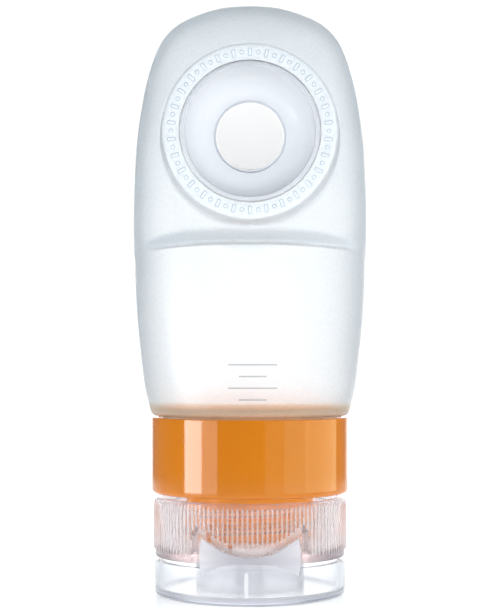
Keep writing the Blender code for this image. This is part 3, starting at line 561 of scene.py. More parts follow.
# Painted highlight: a whiter, less clear copy of the lid's plastic for the bright edges of the lip and
# for the small gusset rib.
GUSSET_AND_LIP_EDGE_GLEAM = clear_plastic("gusset_and_lip_edge_gleam", (0.97, 0.97, 0.98), (0.9, 0.9, 0.95), 5, 0.16, 0.40)
RETAINER_CLEAR = clear_plastic("retainer_clear", (0.95, 0.94, 0.95), (0.8, 0.75, 0.78), 30, 0.12, 0.85)
DISC_WHITE = matte_plastic("disc_white", (0.99, 0.94, 0.90, 1), (1.0, 0.955, 0.915, 1), 0.35)
MARKER_WHITE = matte_plastic("marker_white", (0.86, 0.85, 0.82, 1), (0.90, 0.89, 0.86, 1))
MARKER_INK = matte_plastic("marker_ink", (0.10, 0.10, 0.11, 1), (0.14, 0.14, 0.15, 1))
SEAL_WHITE = matte_plastic("seal_white", (0.88, 0.86, 0.83, 1), (0.93, 0.91, 0.88, 1), 0.5)
VALVE_SOFT = matte_plastic("valve_soft", (0.84, 0.84, 0.85, 1), (0.91, 0.91, 0.92, 1), 0.4)


def dress(obj, made, body, slot, *nodes):
    """Gives a piece its finish, the body that it moves with and the nodes that it stands for."""
    obj.data.materials.clear()
    obj.data.materials.append(made)
    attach(obj, body)
    if nodes:
        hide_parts(*nodes)
    return obj


# Squeeze body

# Each row gives shares of the body's height, width, front and back, and of the step's climb and fall.

LOWER_ROWS = (
    (0.018, 0.078, 0.000, 0.000, 0.00, 0.00),
    (0.080, 0.394, 0.350, 0.350, 0.15, 0.15),
    (0.155, 0.600, 0.700, 0.700, 0.35, 0.35),
    (0.230, 0.775, 0.900, 0.900, 0.60, 0.60),
    (0.308, 0.883, 1.000, 1.000, 0.82, 0.82),
    (0.385, 0.917, 1.000, 1.000, 1.00, 1.00),
)
UPPER_ROWS = (
    (0.387, 0.997, 0.725, 0.978, 2.10, 1.00),
    (0.475, 1.000, 0.705, 0.945, 1.00, 0.70),
    (0.570, 0.992, 0.690, 0.890, 0.30, 0.30),
    (0.660, 0.975, 0.655, 0.820, 0.00, 0.00),
    (0.740, 0.938, 0.590, 0.735, 0.00, 0.00),
    (0.810, 0.890, 0.512, 0.635, 0.00, 0.00),
    (0.870, 0.826, 0.435, 0.535, 0.00, 0.00),
    (0.915, 0.750, 0.366, 0.445, 0.00, 0.00),
    (0.950, 0.630, 0.290, 0.345, 0.00, 0.00),
    (0.975, 0.450, 0.212, 0.245, 0.00, 0.00),
    (0.992, 0.250, 0.125, 0.140, 0.00, 0.00),
)


def flowing(rows, count, before, after):
    """Rows on a smooth curve through the given ones."""
    guides = [before, *rows, after]
    found = []
    for index in range(count):
        place = index * (len(rows) - 1) / (count - 1)
        span = min(int(place), len(rows) - 2)
        t = place - span
        values = []
        for a, b, c, d in zip(*guides[span : span + 4]):
            slope = (c - a) * t
            bend = (2 * a - 5 * b + 4 * c - d) * t**2
            turn = (3 * b - a - 3 * c + d) * t**3
            values.append((2 * b + slope + bend + turn) / 2)
        found.append(tuple(values))
    return found


def row_of(shares, base):
    """A row in millimetres, widened from a base size by its shares."""
    height, width, front, back, climb, fall = shares
    return (
        COLLAR_TOP + height * BODY_TALL,
        base + width * (BODY_HALF_WIDTH - base),
        base + front * (BODY_HALF_DEPTH - base),
        base + back * (BODY_HALF_DEPTH - base),
        climb * STEP_CLIMB,
        fall * STEP_CLIMB,
    )


def beyond(row, previous):
    return tuple(2 * here - there for here, there in zip(row, previous))


def body_rows():
    """Rows from the end of the soft neck, out over the collar and up to the crown."""
    rows = [(height, SOFT_NECK, SOFT_NECK, SOFT_NECK, 0, 0) for height in (SOFT_NECK_END, 29.0, 35.5)]
    edge = 0.5
    for radius, height in arc((BODY_FOOT - edge, COLLAR_TOP + 0.3 + edge), edge, -90, -22.5, 4):
        rows.append((height, radius, radius, radius, 0, 0))
    lower = [row_of(shares, BODY_FOOT) for shares in LOWER_ROWS]
    rows += flowing(lower, 22, beyond(lower[0], lower[1]), beyond(lower[-1], lower[-2]))
    upper = [row_of(shares, 0) for shares in UPPER_ROWS]
    rows += flowing(upper, 48, beyond(upper[0], upper[1]), (CROWN, 0, 0, 0, 0, 0))
    return rows


def body_ring(row, steps):
    """Points of one ring, round at the collar and squarer where the body flattens."""
    height, half_width, front, back, climb, fall = row
    squarest = 0.30
    flattening = 1 - min(1, (front + back) / (2 * half_width))
    power = 2 / (2 + squarest * min(1, flattening / squarest))
    ring = []
    for index in range(steps):
        angle = FULL_TURN * index / steps
        across = math.copysign(abs(math.cos(angle)) ** power, math.cos(angle))
        along = math.copysign(abs(math.sin(angle)) ** power, math.sin(angle))
        depth = back if along > 0 else front
        slope = fall if along > 0 else climb
        ring.append(Vector((half_width * across, depth * along, height - along * slope)) * MM)
    return ring


def lofted_body(name, steps=96):
    """Extrudes a circle row by row up to the crown, and settles each ring on its own section."""
    rows = body_rows()
    rest_tools()
    bpy.ops.mesh.primitive_circle_add(
        vertices=steps, radius=SOFT_NECK * MM, fill_type="NGON", location=(0, 0, 0)
    )
    obj = bpy.context.object
    obj.name = obj.data.name = name
    bpy.ops.object.mode_set(mode="EDIT")
    bpy.ops.mesh.select_all(action="SELECT")
    for number, row in enumerate(rows):
        if number:
            bpy.ops.mesh.extrude_region_move(TRANSFORM_OT_translate={"value": (0, 0, MM)})
        mesh = bmesh.from_edit_mesh(obj.data)
        chosen = [vert for vert in mesh.verts if vert.select]
        chosen.sort(key=lambda vert: (math.atan2(vert.co.y, vert.co.x) + 0.001) % FULL_TURN)
        for vert, place in zip(chosen, body_ring(row, steps)):
            vert.co = place
        bmesh.update_edit_mesh(obj.data)
    bpy.ops.mesh.extrude_region_move(TRANSFORM_OT_translate={"value": (0, 0, 0)})
    bpy.ops.mesh.merge(type="CENTER")
    mesh = bmesh.from_edit_mesh(obj.data)
    for vert in mesh.verts:
        if vert.select:
            vert.co = Vector((0, 0, CROWN)) * MM
    bmesh.update_edit_mesh(obj.data)
    clean_up()
    set_in_place(obj)
    return obj


def cup_dish(radius, depth, floor_radius, count=12):
    """A (radius, height) curve that turns from a cup's rim down to the edge of its floor."""
    points = []
    for index in range(count):
        angle = math.pi / 2 * index / (count - 1)
        inwards = (radius - floor_radius) * (1 - math.cos(angle))
        points.append((radius - inwards, -depth * math.sin(angle)))
    return points


def offset_copy(obj, name, offset):
    """A copy whose surface lies this many millimetres further out."""
    pick(obj)
    bpy.ops.object.duplicate()
    made = bpy.context.object
    made.name = made.data.name = name
    finish_with(made, "DISPLACE", strength=offset * MM, mid_level=0.0, direction="NORMAL")
    return made


def joined(objects):
    rest_tools()
    for obj in objects:
        obj.select_set(True)
    bpy.context.view_layer.objects.active = objects[0]
    bpy.ops.object.join()
    return bpy.context.object


def ring_marks(count=30):
    """Plain raised bars and dots by turns on the flat ring round the cup."""
    half_bar = 0.38
    sunk = 0.7
    dot_radius = 0.44
    edge = 0.16
    low = (-half_bar, -CUP_FACE, CUP_MIDDLE + MARK_INSIDE)
    high = (half_bar, -CUP_FACE + sunk, CUP_MIDDLE + MARK_OUTSIDE)
    bar = block("bar", low, high)
    outline = [(0, 0), (dot_radius - edge, 0), (dot_radius, -edge), (dot_radius, -sunk), (0, -sunk)]
    dot = turned_at_cup("dot", outline, 16)
    pick(dot)
    step = math.pi / count
    centre = (0, 0, CUP_MIDDLE * MM)
    bpy.ops.transform.translate(value=(0, 0, (MARK_INSIDE + MARK_OUTSIDE) / 2 * MM))
    bpy.ops.transform.rotate(value=step, orient_axis="Y", center_override=centre)
    finish_with(bar, "BEVEL", width=edge * MM, segments=1)
    marks = [bar, dot]
    for first in (bar, dot):
        for number in range(1, count):
            pick(first)
            bpy.ops.object.duplicate()
            bpy.ops.transform.rotate(value=2 * step * number, orient_axis="Y", center_override=centre)
            marks.append(bpy.context.object)
    for mark in marks:
        set_in_place(mark)
    return joined(marks)


def make_filling_lines(loft, count=4):
    """Plain filling lines on the front of the body, long and short by turns."""
    top = 45.6
    apart = 2.2
    middle = 0.5
    half_thick = 0.13
    bars = []
    for number in range(count):
        height = top - apart * number
        half_width = 2.6 if number % 2 else 4.6
        low = (middle - half_width, -25, height - half_thick)
        high = (middle + half_width, -10, height + half_thick)
        bars.append(block("level", low, high))
    lines = joined(bars)
    lines.name = lines.data.name = "filling_lines"
    combine(lines, "INTERSECT", offset_copy(loft, "outer", 0.1))
    combine(lines, "DIFFERENCE", offset_copy(loft, "inner", -0.5))
    return dress(lines, LINE_GREY, "tube", "frosted_silicone")


def hollow_of(skin, back):
    """The space inside the body, open at the soft neck and cut short behind the cup."""
    hollow = offset_copy(skin, "hollow", -WALL)
    for vert in hollow.data.vertices:
        if vert.co.z < (SOFT_NECK_END + 2.8) * MM:
            vert.co.z = (SOFT_NECK_END - 5.2) * MM
    wall = [(radius + SOCKET_WALL, height - SOCKET_WALL) for radius, height in back]
    socket = turned_at_cup("socket", [(0, 6), (wall[0][0], 6), *wall, (0, wall[-1][1])])
    relief = turned_at_cup("relief", [(0, -WALL), (15.0, -WALL), (16.1, -15.0), (0, -15.0)])
    combine(hollow, "UNION", relief)
    combine(hollow, "DIFFERENCE", socket)
    return hollow


def make_squeeze_skin():
    """The body's thin wall, with the boss, the cup's socket and the marks on the ring round it."""
    skin = lofted_body("squeeze_skin")
    make_filling_lines(skin)
    back = cup_dish(RING_INSIDE, SOCKET_DEEP, SOCKET_FLOOR)
    hollow = hollow_of(skin, back)
    boss_deep = 13.0
    edge = 0.4
    rim = arc((RING_OUTSIDE - edge, -RAISED - edge), edge, 90, 0, 4)
    boss = turned_at_cup("boss", [(0, -RAISED), *rim, (17.7, -boss_deep), (0, -boss_deep)])
    combine(skin, "UNION", boss)
    finish_with(skin, "REMESH", mode="VOXEL", voxel_size=0.5 * MM)
    finish_with(skin, "SMOOTH", factor=0.5, iterations=5)
    combine(skin, "DIFFERENCE", hollow)
    mouth = [(0, 2), (RING_INSIDE, 2), (RING_INSIDE, -1.5)]
    combine(skin, "DIFFERENCE", turned_at_cup("mouth", [*mouth, *back[1:], (0, -SOCKET_DEEP)]))
    combine(skin, "UNION", ring_marks())
    weld(skin)
    smooth(skin, 40)
    dress(skin, FROSTED, "tube", "frosted_silicone", "squeeze_body")
    skin.data.materials.append(MARK_EDGE_SHADE)
    skin.data.materials.append(LIT_RING_AND_LEDGE)
    for face in skin.data.polygons:
        middle = face.center / MM
        out = math.hypot(middle.x, middle.z - CUP_MIDDLE)
        proud = -CUP_FACE - 0.01 < middle.y < -CUP_FACE + RAISED - 0.01
        # Painted shade: the side walls of the raised marks take the bluish grey.
        if MARK_INSIDE - 0.1 < out < MARK_OUTSIDE + 0.2 and proud and face.normal.y > -0.97:
            face.material_index = 1
        # Painted light: the flat ring's face takes the whiter copy.
        elif 13.3 < out < RING_OUTSIDE and middle.y < -CUP_FACE + RAISED + 0.3 and face.normal.y < -0.5:
            face.material_index = 2
        # Painted light: the ledge above the step takes the whiter copy, as if lit from above.
        elif 66 < middle.z < 73 and middle.y < -8 and face.normal.z > 0.3:
            face.material_index = 2
    return skin


def make_suction_dish():
    """The clear dish, with a low seat for the disc in its middle and painted shade round the seat's edge.
    """
    outside = 13.1
    floor = -8.3
    seat = -7.6
    seat_radius = 6.9
    edge = 0.2
    front = cup_dish(12.4, -floor, 7.2, 16)
    back = cup_dish(outside, 9.6, SOCKET_FLOOR, 16)
    profile = [
        (0, seat),
        *arc((seat_radius - edge, seat - edge), edge, 90, 0, 3),
        (seat_radius, floor),
        *reversed(front),
        (12.65, 0.0),
        (outside, -0.25),
        (outside, -1.2),
        *back[1:],
        (0, back[-1][1]),
    ]
    dish = turned_at_cup("suction_dish", profile, 128)
    smooth(dish, 40)
    dress(dish, CLEAR_CUP, "tube", "clear_silicone", "suction_cup")
    dish.data.materials.append(SEAT_SHADE)
    for face in dish.data.polygons:
        middle = face.center / MM
        out = math.hypot(middle.x, middle.z - CUP_MIDDLE)
        in_front = middle.y < -CUP_FACE - floor + 0.1
        # Painted shade: the seat's side wall round the disc takes the dark grey.
        if seat_radius - 0.5 < out < seat_radius + 0.1 and face.normal.y < 0.2 and in_front:
            face.material_index = 1
    return dish


def make_cup_disc():
    """The pale round pad in the middle of the cup."""
    top = -7.25
    foot = -7.58
    radius = 6.5
    edge = 0.2
    rim = arc((radius - edge, top - edge), edge, 90, 0, 4)
    disc = turned_at_cup("cup_disc", [(0, top), (radius - 0.6, top), *rim, (radius, foot), (0, foot)])
    smooth(disc, 40)
    return dress(disc, DISC_WHITE, "tube", "clear_silicone")


# Hard rings


def window_outline():
    """The collar's window, an upright rectangle with round corners."""
    corner = 1.2
    half_width = 5.5 - corner
    half_height = 3.0 - corner
    outline = []
    for turn, side_x, side_z in ((0, 1, 1), (90, -1, 1), (180, -1, -1), (270, 1, -1)):
        centre = (side_x * half_width, WINDOW_MIDDLE + side_z * half_height)
        outline += arc(centre, corner, turn, turn + 90, 8)
    return outline


def make_collar():
    """The glossy band, with a lip inside its foot, a low catch above that, and its window."""
    edge = 0.15
    round_foot = 0.8
    profile = [
        (COLLAR_RADIUS - edge, COLLAR_TOP),
        (COLLAR_RADIUS, COLLAR_TOP - edge),
        (COLLAR_RADIUS, 34.7),
        (COLLAR_RADIUS, 28.0),
        (COLLAR_RADIUS, 21.3),
        *arc((COLLAR_RADIUS - round_foot, COLLAR_FOOT + round_foot), round_foot, 0, -90, 8),
        (COLLAR_LEDGE, COLLAR_FOOT),
        (COLLAR_LEDGE, 21.1),
        (COLLAR_INSIDE, 21.1),
        (COLLAR_INSIDE, 23.2),
        (COLLAR_INSIDE - 0.6, 23.2),
        (COLLAR_INSIDE, 23.9),
        (COLLAR_INSIDE, COLLAR_TOP - edge),
        (COLLAR_INSIDE + 0.1, COLLAR_TOP),
    ]
    collar = turned("collar_band", profile, 192)
    combine(collar, "DIFFERENCE", plate("window", window_outline(), 16.0, 22.0))
    round_off(collar, 0.12)
    smooth(collar, 32)
    return dress(collar, COLLAR_ORANGE, "collar", "orange_collar", "collar_ring")


def make_neck():
    """The hard neck: a barbed sleeve above, a flange in the middle and the threaded spout below."""
    barb = 17.9
    barb_foot = 37.4
    flange = 18.0
    flange_top = 22.9
    flange_foot = 21.4
    profile = [
        (barb - 0.4, NECK_TOP),
        (barb, NECK_TOP - 0.4),
        (barb, barb_foot),
        (SLEEVE_RADIUS, barb_foot),
        (SLEEVE_RADIUS, flange_top),
        (flange, flange_top),
        (flange, flange_foot),
        (NECK_RADIUS, flange_foot),
        (NECK_RADIUS, NECK_FOOT + 0.3),
        (NECK_RADIUS - 0.3, NECK_FOOT),
        (NECK_BORE, NECK_FOOT),
        (NECK_BORE, flange_top),
        (SLEEVE_BORE, 25.6),
        (SLEEVE_BORE, NECK_TOP),
    ]
    neck = turned("threaded_neck", profile, 144)
    ridge = thread_ridge("neck_ridge", NECK_RADIUS - 0.2, NECK_RADIUS + 0.8, NECK_FOOT + 1.5, 0, 1.5)
    combine(neck, "UNION", ridge)
    smooth(neck, 32)
    return dress(neck, NECK_ORANGE, "tube", "orange_insert", "neck_insert")


# Screw cap


def smile(rise, half_width, count=25):
    """The lip's top edge, raised by a gap and carried on to a half width."""
    points = []
    for index in range(count):
        share = 2 * index / (count - 1) - 1
        climb = LIP_RISE * (half_width * abs(share) / LIP_HALF_WIDTH) ** 2
        points.append((share * half_width, LIP_MIDDLE + rise + climb))
    return points


def smile_plate(name, rise, half_width, near):
    """A plate through the front wall, below the lip's top edge."""
    outline = [(-half_width, POCKET_FOOT), *smile(rise, half_width), (half_width, POCKET_FOOT)]
    return plate(name, outline, near, 0)


def bevel_cutter():
    """The sloping edge round the top of the lip's pocket."""
    side = POCKET_HALF_WIDTH
    slope = 2.0

    def section(x, depth, inner_top, outer_top):
        corners = (
            (BEYOND, POCKET_FOOT),
            (RIB_CREST - depth, POCKET_FOOT),
            (RIB_CREST - depth, inner_top),
            (RIB_CREST, outer_top),
            (BEYOND, outer_top),
        )
        return [(x, -math.sqrt(radius**2 - x**2), height) for radius, height in corners]

    rings = [
        section(-side - 2, -0.3, LIP_MIDDLE, LIP_TOP),
        section(-side - 1, 0.6, LIP_TOP, LIP_TOP + slope),
    ]
    for (x, low), (_, high) in zip(smile(0.3, side), smile(0.3 + slope, side)):
        rings.append(section(x, 1.2, low, high))
    rings.append(section(side + 1, 0.6, LIP_TOP, LIP_TOP + slope))
    rings.append(section(side + 2, -0.3, LIP_MIDDLE, LIP_TOP))
    return skinned("thumb_bevel", rings)


def cap_profile():
    """The cap's wall, its deck with the orifice and the valve's seat, and the threaded socket."""
    orifice = 4.6
    seat_inside = 7.0
    seat_outside = 8.0
    seat_top = 12.1
    socket_outside = 15.3
    socket_top = 18.6
    return [
        (CAP_RADIUS - 0.3, CAP_TOP),
        (CAP_RADIUS, CAP_TOP - 0.3),
        (CAP_RADIUS, 19.0),
        (CAP_RADIUS, 18.1),
        (CAP_RADIUS, 13.7),
        (CAP_RADIUS, CAP_DECK),
        (CAP_RADIUS, 9.1),
        (CAP_RADIUS, CAP_FOOT + 0.2),
        (CAP_RADIUS - 0.2, CAP_FOOT),
        (orifice, CAP_FOOT),
        (orifice, CAP_DECK),
        (seat_inside, CAP_DECK),
        (seat_inside, seat_top),
        (seat_outside, seat_top),
        (seat_outside, CAP_DECK),
        (CAP_BORE, CAP_DECK),
        (CAP_BORE, socket_top),
        (socket_outside, socket_top),
        (socket_outside, CAP_DECK),
        (CAP_INSIDE, CAP_DECK),
        (CAP_INSIDE, CAP_TOP),
    ]


def raise_ribs(cap):
    """Moves three of every six points round the wall outwards, which gives rounded ribs."""
    pick(cap)
    bpy.ops.object.mode_set(mode="EDIT")
    for phase, crest in ((0, RIB_CREST), (1, RIB_SHOULDER), (5, RIB_SHOULDER)):
        bpy.ops.mesh.select_all(action="DESELECT")
        mesh = bmesh.from_edit_mesh(cap.data)
        for vert in mesh.verts:
            turn = math.atan2(vert.co.y, vert.co.x) / FULL_TURN
            spoke = round(turn * RIBS * RIB_POINTS) % RIB_POINTS
            on_wall = abs(vert.co.xy.length - CAP_RADIUS * MM) < 0.02 * MM
            vert.select = spoke == phase and on_wall and 9.2 * MM < vert.co.z < 18.5 * MM
        mesh.select_flush_mode()
        bmesh.update_edit_mesh(cap.data)
        scale = crest / CAP_RADIUS
        bpy.ops.transform.resize(value=(scale, scale, 1), center_override=(0, 0, 0))
    rest_tools()


def make_cap():
    """The clear screw cap, thicker behind the pocket that the lid's lip lies in."""
    cap = turned("ribbed_cap", cap_profile(), RIBS * RIB_POINTS)
    raise_ribs(cap)
    pad = band("pad", 18.15, 15.9, 8.1, 15.3)
    combine(pad, "INTERSECT", block("pad_limit", (-11.0, -20, 0), (11.0, 0, 20)))
    pocket = band("pocket", BEYOND, 16.9, 0, CAP_TOP)
    combine(pocket, "INTERSECT", smile_plate("outline", 0.3, POCKET_HALF_WIDTH, -23.2))
    lug = block("cap_lug", (-LUG_HALF_WIDTH, 17.7, CAP_FOOT), (LUG_HALF_WIDTH, LUG_OUT, CAP_DECK))
    ridge = thread_ridge("cap_ridge", CAP_BORE + 0.2, NECK_RADIUS + 0.3, NECK_FOOT - 0.1, 0.3, 1.9)
    combine(cap, "UNION", pad, ridge, lug)
    combine(cap, "DIFFERENCE", pocket, bevel_cutter())
    smooth(cap, 25)
    dress(cap, CAP_CLEAR, "cap", "clear_cap", "cap_base")
    cap.data.materials.append(POCKET_PAINTED_LIGHT)
    cap.data.materials.append(THREAD_GLEAM)
    for face in cap.data.polygons:
        middle = face.center / MM
        out = middle.xy.length
        before = middle.y < -13
        on_floor = abs(middle.x) < 10.4 and 16.7 < out < 18.85 and 7.9 < middle.z < 15.5
        on_side = 9.5 < abs(middle.x) < 11.5 and abs(face.normal.x) > 0.8
        # Painted light: the pocket's floor and side walls take the whiter copy.
        if before and on_floor and face.normal.xy.dot(middle.xy.normalized()) > 0.3:
            face.material_index = 1
        elif before and on_side:
            face.material_index = 1
        # Painted reflection: the cap's thread ridge takes the whiter copy.
        elif 12.9 < out < CAP_BORE - 0.05 and 11 < middle.z < 18.5:
            face.material_index = 2
    return cap


# Flip lid


def bow_tie(count=25, side_count=7):
    """The lip's outline: its smiling top, two swelling ends and a frowning foot."""
    frown = []
    for index in range(count):
        share = 2 * index / (count - 1) - 1
        frown.append((share * LIP_HALF_WIDTH, 8.1 - 2.5 * abs(share) ** 3))
    right = []
    for index in range(1, side_count + 1):
        share = index / (side_count + 1)
        swell = 0.4 * (1 - (2 * share - 1) ** 2)
        right.append((LIP_HALF_WIDTH + swell, LIP_TOP - (LIP_TOP - LIP_FOOT) * share))
    left = [(-x, height) for x, height in reversed(right)]
    return [*smile(0, LIP_HALF_WIDTH), *right, *reversed(frown), *left]


def make_lid():
    """The lid's shell with its plug, inner ring, tongue behind the lip and hinge lug."""
    plug_inside = 1.7
    plug_outside = 3.0
    plug_top = 8.5
    ring_inside = 9.9
    ring_outside = 10.8
    ring_top = 7.5
    fillet = 0.3
    round_foot = 1.0
    profile = [
        (0, LID_FLOOR),
        (plug_inside, LID_FLOOR),
        (plug_inside, plug_top),
        (plug_outside, plug_top),
        (plug_outside, LID_FLOOR),
        (ring_inside, LID_FLOOR),
        (ring_inside, ring_top),
        (ring_outside, ring_top),
        (ring_outside, LID_FLOOR),
        *arc((LID_INSIDE - fillet, LID_FLOOR + fillet), fillet, -90, 0, 4),
        (LID_INSIDE, 2.2),
        (LID_INSIDE, LID_TOP),
        (LID_RADIUS, LID_TOP),
        (LID_RADIUS, 1.3),
        *arc((LID_RADIUS - round_foot, round_foot), round_foot, 0, -90, 8),
        (0, 0),
    ]
    lid = turned("flip_lid_shell", profile, 192)
    tongue = band("tongue", 18.7, 17.4, LIP_FOOT, LIP_TOP)
    combine(tongue, "INTERSECT", smile_plate("tongue_outline", -0.2, 9.0, -21.4))
    low = (-LUG_HALF_WIDTH, 17.8, LID_TOP - 1.5)
    lug = block("lid_lug", low, (LUG_HALF_WIDTH, LUG_OUT, LID_TOP))
    combine(lid, "UNION", tongue, lug)
    smooth(lid, 30)
    dress(lid, LID_CLEAR, "lid", "clear_lid", "flip_lid")
    lid.data.materials.append(LID_SATIN)
    for face in lid.data.polygons:
        middle = face.center / MM
        if middle.xy.length < ring_outside + 0.1 and middle.z > LID_FLOOR + 0.1:
            face.material_index = 1
    return lid


def make_thumb_lip():
    """The satin bow-tie lip that a thumb opens the lid by, with painted shade in its middle and a painted
    highlight on its edges.
    """
    lip = band("thumb_lip", LIP_FACE, 18.72, LIP_FOOT, LIP_TOP)
    combine(lip, "INTERSECT", plate("lip_outline", bow_tie(), -21.4, 0))
    scoop = [*arc((23.1, 9.4), 4.0, 150, 210, 15), (21.0, 5.5), (21.0, 13.3)]
    combine(lip, "DIFFERENCE", turned("scoop", scoop, 192))
    round_off(lip, 0.28)
    smooth(lip, 32)
    dress(lip, LIP_PAINTED_SHADE, "lid", "clear_lid")
    lip.data.materials.append(GUSSET_AND_LIP_EDGE_GLEAM)
    # Painted highlight: the lip's sides and rounded edges take the whiter copy.
    for face in lip.data.polygons:
        if face.normal.xy.dot(face.center.xy.normalized()) < 0.8:
            face.material_index = 1
    return lip


def make_gusset():
    """The small rib that stands behind the lip, on the lid's floor."""
    gusset = block("lid_gusset", (-1.1, -17.45, 1.55), (-0.3, -15.6, 6.3))
    finish_with(gusset, "BEVEL", width=0.1 * MM, segments=2)
    smooth(gusset, 32)
    # Painted highlight: the gusset takes the whiter copy, which shows it as a bright line.
    return dress(gusset, GUSSET_AND_LIP_EDGE_GLEAM, "lid", "clear_lid")


def make_hinge_web():
    """The thin web between cap and lid, a finely subdivided block."""
    web = block("hinge_web", (-4.2, 19.4, 6.7), (4.2, 19.75, 8.1))
    pick(web)
    bpy.ops.object.mode_set(mode="EDIT")
    bpy.ops.mesh.select_all(action="SELECT")
    bpy.ops.mesh.subdivide(number_cuts=6)
    rest_tools()
    web.data.materials.append(CAP_CLEAR)
    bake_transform(web)
    return web


def make_marker_numerals(count=6):
    """Plain numbers round the marker ring, which the collar's window shows one by one."""
    proud = 0.06
    ring_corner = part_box("marker_ring")[1]
    made = []
    for number in range(count):
        rest_tools()
        place = (0, -ring_corner[0] - proud * MM, WINDOW_MIDDLE * MM)
        bpy.ops.object.text_add(location=place, rotation=(math.pi / 2, 0, 0))
        numeral = bpy.context.object
        numeral.data.body = str(number + 1)
        numeral.data.align_x = "CENTER"
        numeral.data.align_y = "CENTER"
        numeral.data.size = 4.4 * MM
        numeral.data.extrude = 0.08 * MM
        bpy.ops.object.convert(target="MESH")
        turn = FULL_TURN * number / count
        bpy.ops.transform.rotate(value=turn, orient_axis="Z", center_override=(0, 0, 0))
        bpy.ops.object.mode_set(mode="EDIT")
        clean_up()
        set_in_place(numeral)
        made.append(numeral)
    numerals = joined(made)
    numerals.name = numerals.data.name = "marker_numerals"
    return dress(numerals, MARKER_INK, "tube", "marker_white")


def dress_nodes():
    """Finishes for the CAD nodes that stay."""
    for node, made in (
        ("marker_ring", MARKER_WHITE),
        ("cap_gasket", SEAL_WHITE),
        ("slit_valve", VALVE_SOFT),
        ("valve_retainer", RETAINER_CLEAR),
    ):
        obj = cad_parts[node]
        obj.data.materials.clear()
        obj.data.materials.append(made)


# Studio

WARM_LIGHT = (0.94, 1.0, 0.64)
SCREEN_WHITE = (1.85, 1.85, 1.83)
SCREEN_DULL = (0.70, 0.77, 0.83)
ROOM_DIM = (0.20, 0.27, 0.32)
ROOM_AHEAD = (1.65, 1.66, 1.67)
PLAIN_WHITE = (1.05, 1.05, 1.05)


def pale_floor():
    """The floor, which stays under the lid while the cap is unscrewed."""
    rest_tools()
    bpy.ops.mesh.primitive_circle_add(vertices=96, radius=0.30, fill_type="NGON", location=(0, 0, 0))
    floor = bpy.context.object
    floor.name = "studio_floor"
    made, nodes, links, shader = shader_of("pale_floor")
    set_sockets(shader, roughness=0.22, ior=1.3)
    cloud = noise(nodes, links, 20, 2.0)
    colour = ramp(nodes, links, cloud, (0.93, 0.93, 0.94, 1), (0.95, 0.95, 0.955, 1))
    links.new(colour, shader.inputs["Base Color"])
    floor.data.materials.append(made)
    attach(floor, "seal")
    return floor


def studio_world():
    """A tall white screen behind the object, duller higher up, and a dim, bluish room elsewhere.

    Through a clear wall the room is bright ahead as well, and the camera sees plain white all round.
    """
    world = bpy.data.worlds.new("studio")
    bpy.context.scene.world = world
    world.use_nodes = True
    nodes, links = world.node_tree.nodes, world.node_tree.links
    across = place_along(nodes, links, "X", "Generated")
    back = place_along(nodes, links, "Y", "Generated")
    up = place_along(nodes, links, "Z", "Generated")
    shifted = worked_out(nodes, links, "SUBTRACT", across, 0.08)
    aside = worked_out(nodes, links, "ABSOLUTE", shifted)
    width = faded(nodes, links, worked_out(nodes, links, "MULTIPLY", aside, -1.0), -0.54, -0.22)
    behind = faded(nodes, links, back, 0.30, 0.55)
    ahead = faded(nodes, links, worked_out(nodes, links, "MULTIPLY", back, -1.0), 0.30, 0.55)
    seen = nodes.new("ShaderNodeLightPath")
    through = worked_out(nodes, links, "MULTIPLY", ahead, seen.outputs["Is Transmission Ray"])
    room = mixed(nodes, links, worked_out(nodes, links, "MULTIPLY", width, through), ROOM_DIM, ROOM_AHEAD)
    white = mixed(nodes, links, faded(nodes, links, up, 0.08, 0.28), SCREEN_WHITE, SCREEN_DULL)
    light = mixed(nodes, links, worked_out(nodes, links, "MULTIPLY", width, behind), room, white)
    plain = mixed(nodes, links, seen.outputs["Is Camera Ray"], light, PLAIN_WHITE)
    links.new(plain, nodes["Background"].inputs["Color"])


def shine_on(lamp, pieces, state="INCLUDE"):
    """Lets a lamp light only these pieces, or all but these."""
    lit = bpy.data.collections.new(lamp.name + "_lit")
    for piece in pieces:
        lit.objects.link(piece)
    for link in lit.collection_objects:
        link.light_linking.link_state = state
    lamp.light_linking.receiver_collection = lit


def soft_sun(name, direction, strength, spread, pieces, state="INCLUDE"):
    """Broad light with no shadow, which clear walls let through."""
    rest_tools()
    bpy.ops.object.light_add(type="SUN", location=(0, 0, 1))
    lamp = bpy.context.object
    lamp.name = name
    lamp.rotation_euler = Vector(direction).to_track_quat("-Z", "Y").to_euler()
    lamp.data.energy = strength
    lamp.data.angle = math.radians(spread)
    lamp.data.use_shadow = False
    lamp.visible_glossy = lamp.visible_transmission = False
    shine_on(lamp, pieces, state)


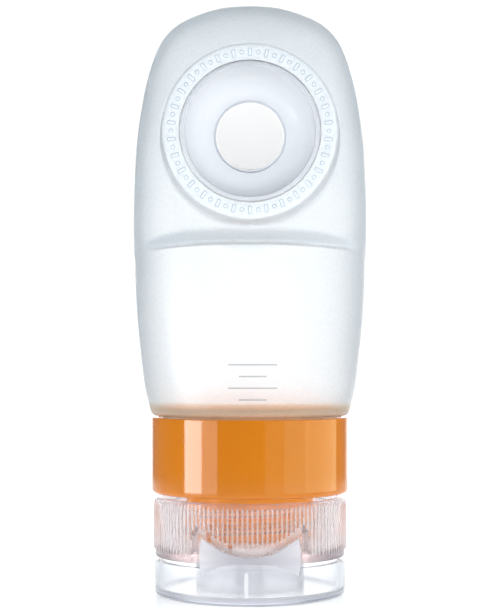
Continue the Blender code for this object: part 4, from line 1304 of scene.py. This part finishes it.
def softbox(name, left, spread, glow, colour=(1, 1, 1)):
    """A tall light that shows only in reflections, so many degrees to the left of the front."""
    away = 0.20
    height = 0.032
    turn = math.radians(left)
    place = Vector((-away * math.sin(turn), -away * math.cos(turn), height))
    rest_tools()
    bpy.ops.object.light_add(type="AREA", location=place)
    lamp = bpy.context.object
    lamp.name = name
    lamp.data.shape = "RECTANGLE"
    lamp.data.size = 2 * away * math.tan(math.radians(spread / 2))
    lamp.data.size_y = 0.06
    lamp.data.color = colour
    lamp.data.energy = glow * math.pi * lamp.data.size * lamp.data.size_y
    lamp.rotation_euler = (Vector((0, 0, place.z)) - place).to_track_quat("-Z", "Y").to_euler()
    lamp.visible_camera = lamp.visible_diffuse = lamp.visible_transmission = False
    return lamp


def studio_lights(floor, silicone, skin, dish, hard):
    """Even light for each finish, a narrow bright strip on the left and warm boxes on the right."""
    soft_sun("floor_light", (0, 0, -1), 2.6, 80, [floor])
    soft_sun("left_light", (0.9, 0.5, -0.3), 1.45, 40, silicone, "EXCLUDE")
    soft_sun("right_light", (-0.9, 0.45, -0.3), 1.7, 40, silicone, "EXCLUDE")
    soft_sun("body_left", (0.9, 0.5, 0), 0.9, 40, silicone)
    soft_sun("body_right", (-0.9, 0.45, 0), 1.4, 40, silicone)
    soft_sun("body_front", (0, 0.75, -0.66), 0.9, 10, [skin])
    soft_sun("cup_light", (0.08, 0.9, 0.35), 0.9, 60, [dish])
    softbox("left_strip", 66, 23, 9.5)
    softbox("left_glow", 45, 18, 2.4)
    shine_on(softbox("right_front", -27, 22, 0.8, WARM_LIGHT), hard)
    shine_on(softbox("right_middle", -52, 28, 1.7, WARM_LIGHT), hard)
    shine_on(softbox("right_back", -90, 50, 2.2, WARM_LIGHT), hard)


def studio_camera():
    """The photograph's view, level, with its frame raised by the shift."""
    photo_height = 613
    focal = 1550
    raised = 53.5
    rest_tools()
    bpy.ops.object.camera_add(location=(0, -0.310, 0.0465), rotation=(math.pi / 2, 0, 0))
    camera = bpy.context.object
    camera.name = "studio_camera"
    camera.data.sensor_width = 36
    camera.data.lens = focal / photo_height * 36
    camera.data.shift_y = raised / photo_height
    camera.data.clip_start = 0.01
    camera.data.clip_end = 20
    bpy.context.scene.camera = camera


skin = make_squeeze_skin()
dish = make_suction_dish()
make_cup_disc()
collar = make_collar()
make_neck()
make_marker_numerals()
cap = make_cap()
lid = make_lid()
make_thumb_lip()
make_gusset()
make_hinge_web()
dress_nodes()
floor = pale_floor()
studio_world()
studio_camera()
studio_lights(floor, [skin, dish], skin, dish, [collar, cap, lid])
bpy.context.scene.view_settings.view_transform = "Standard"
bpy.context.view_layer.update()
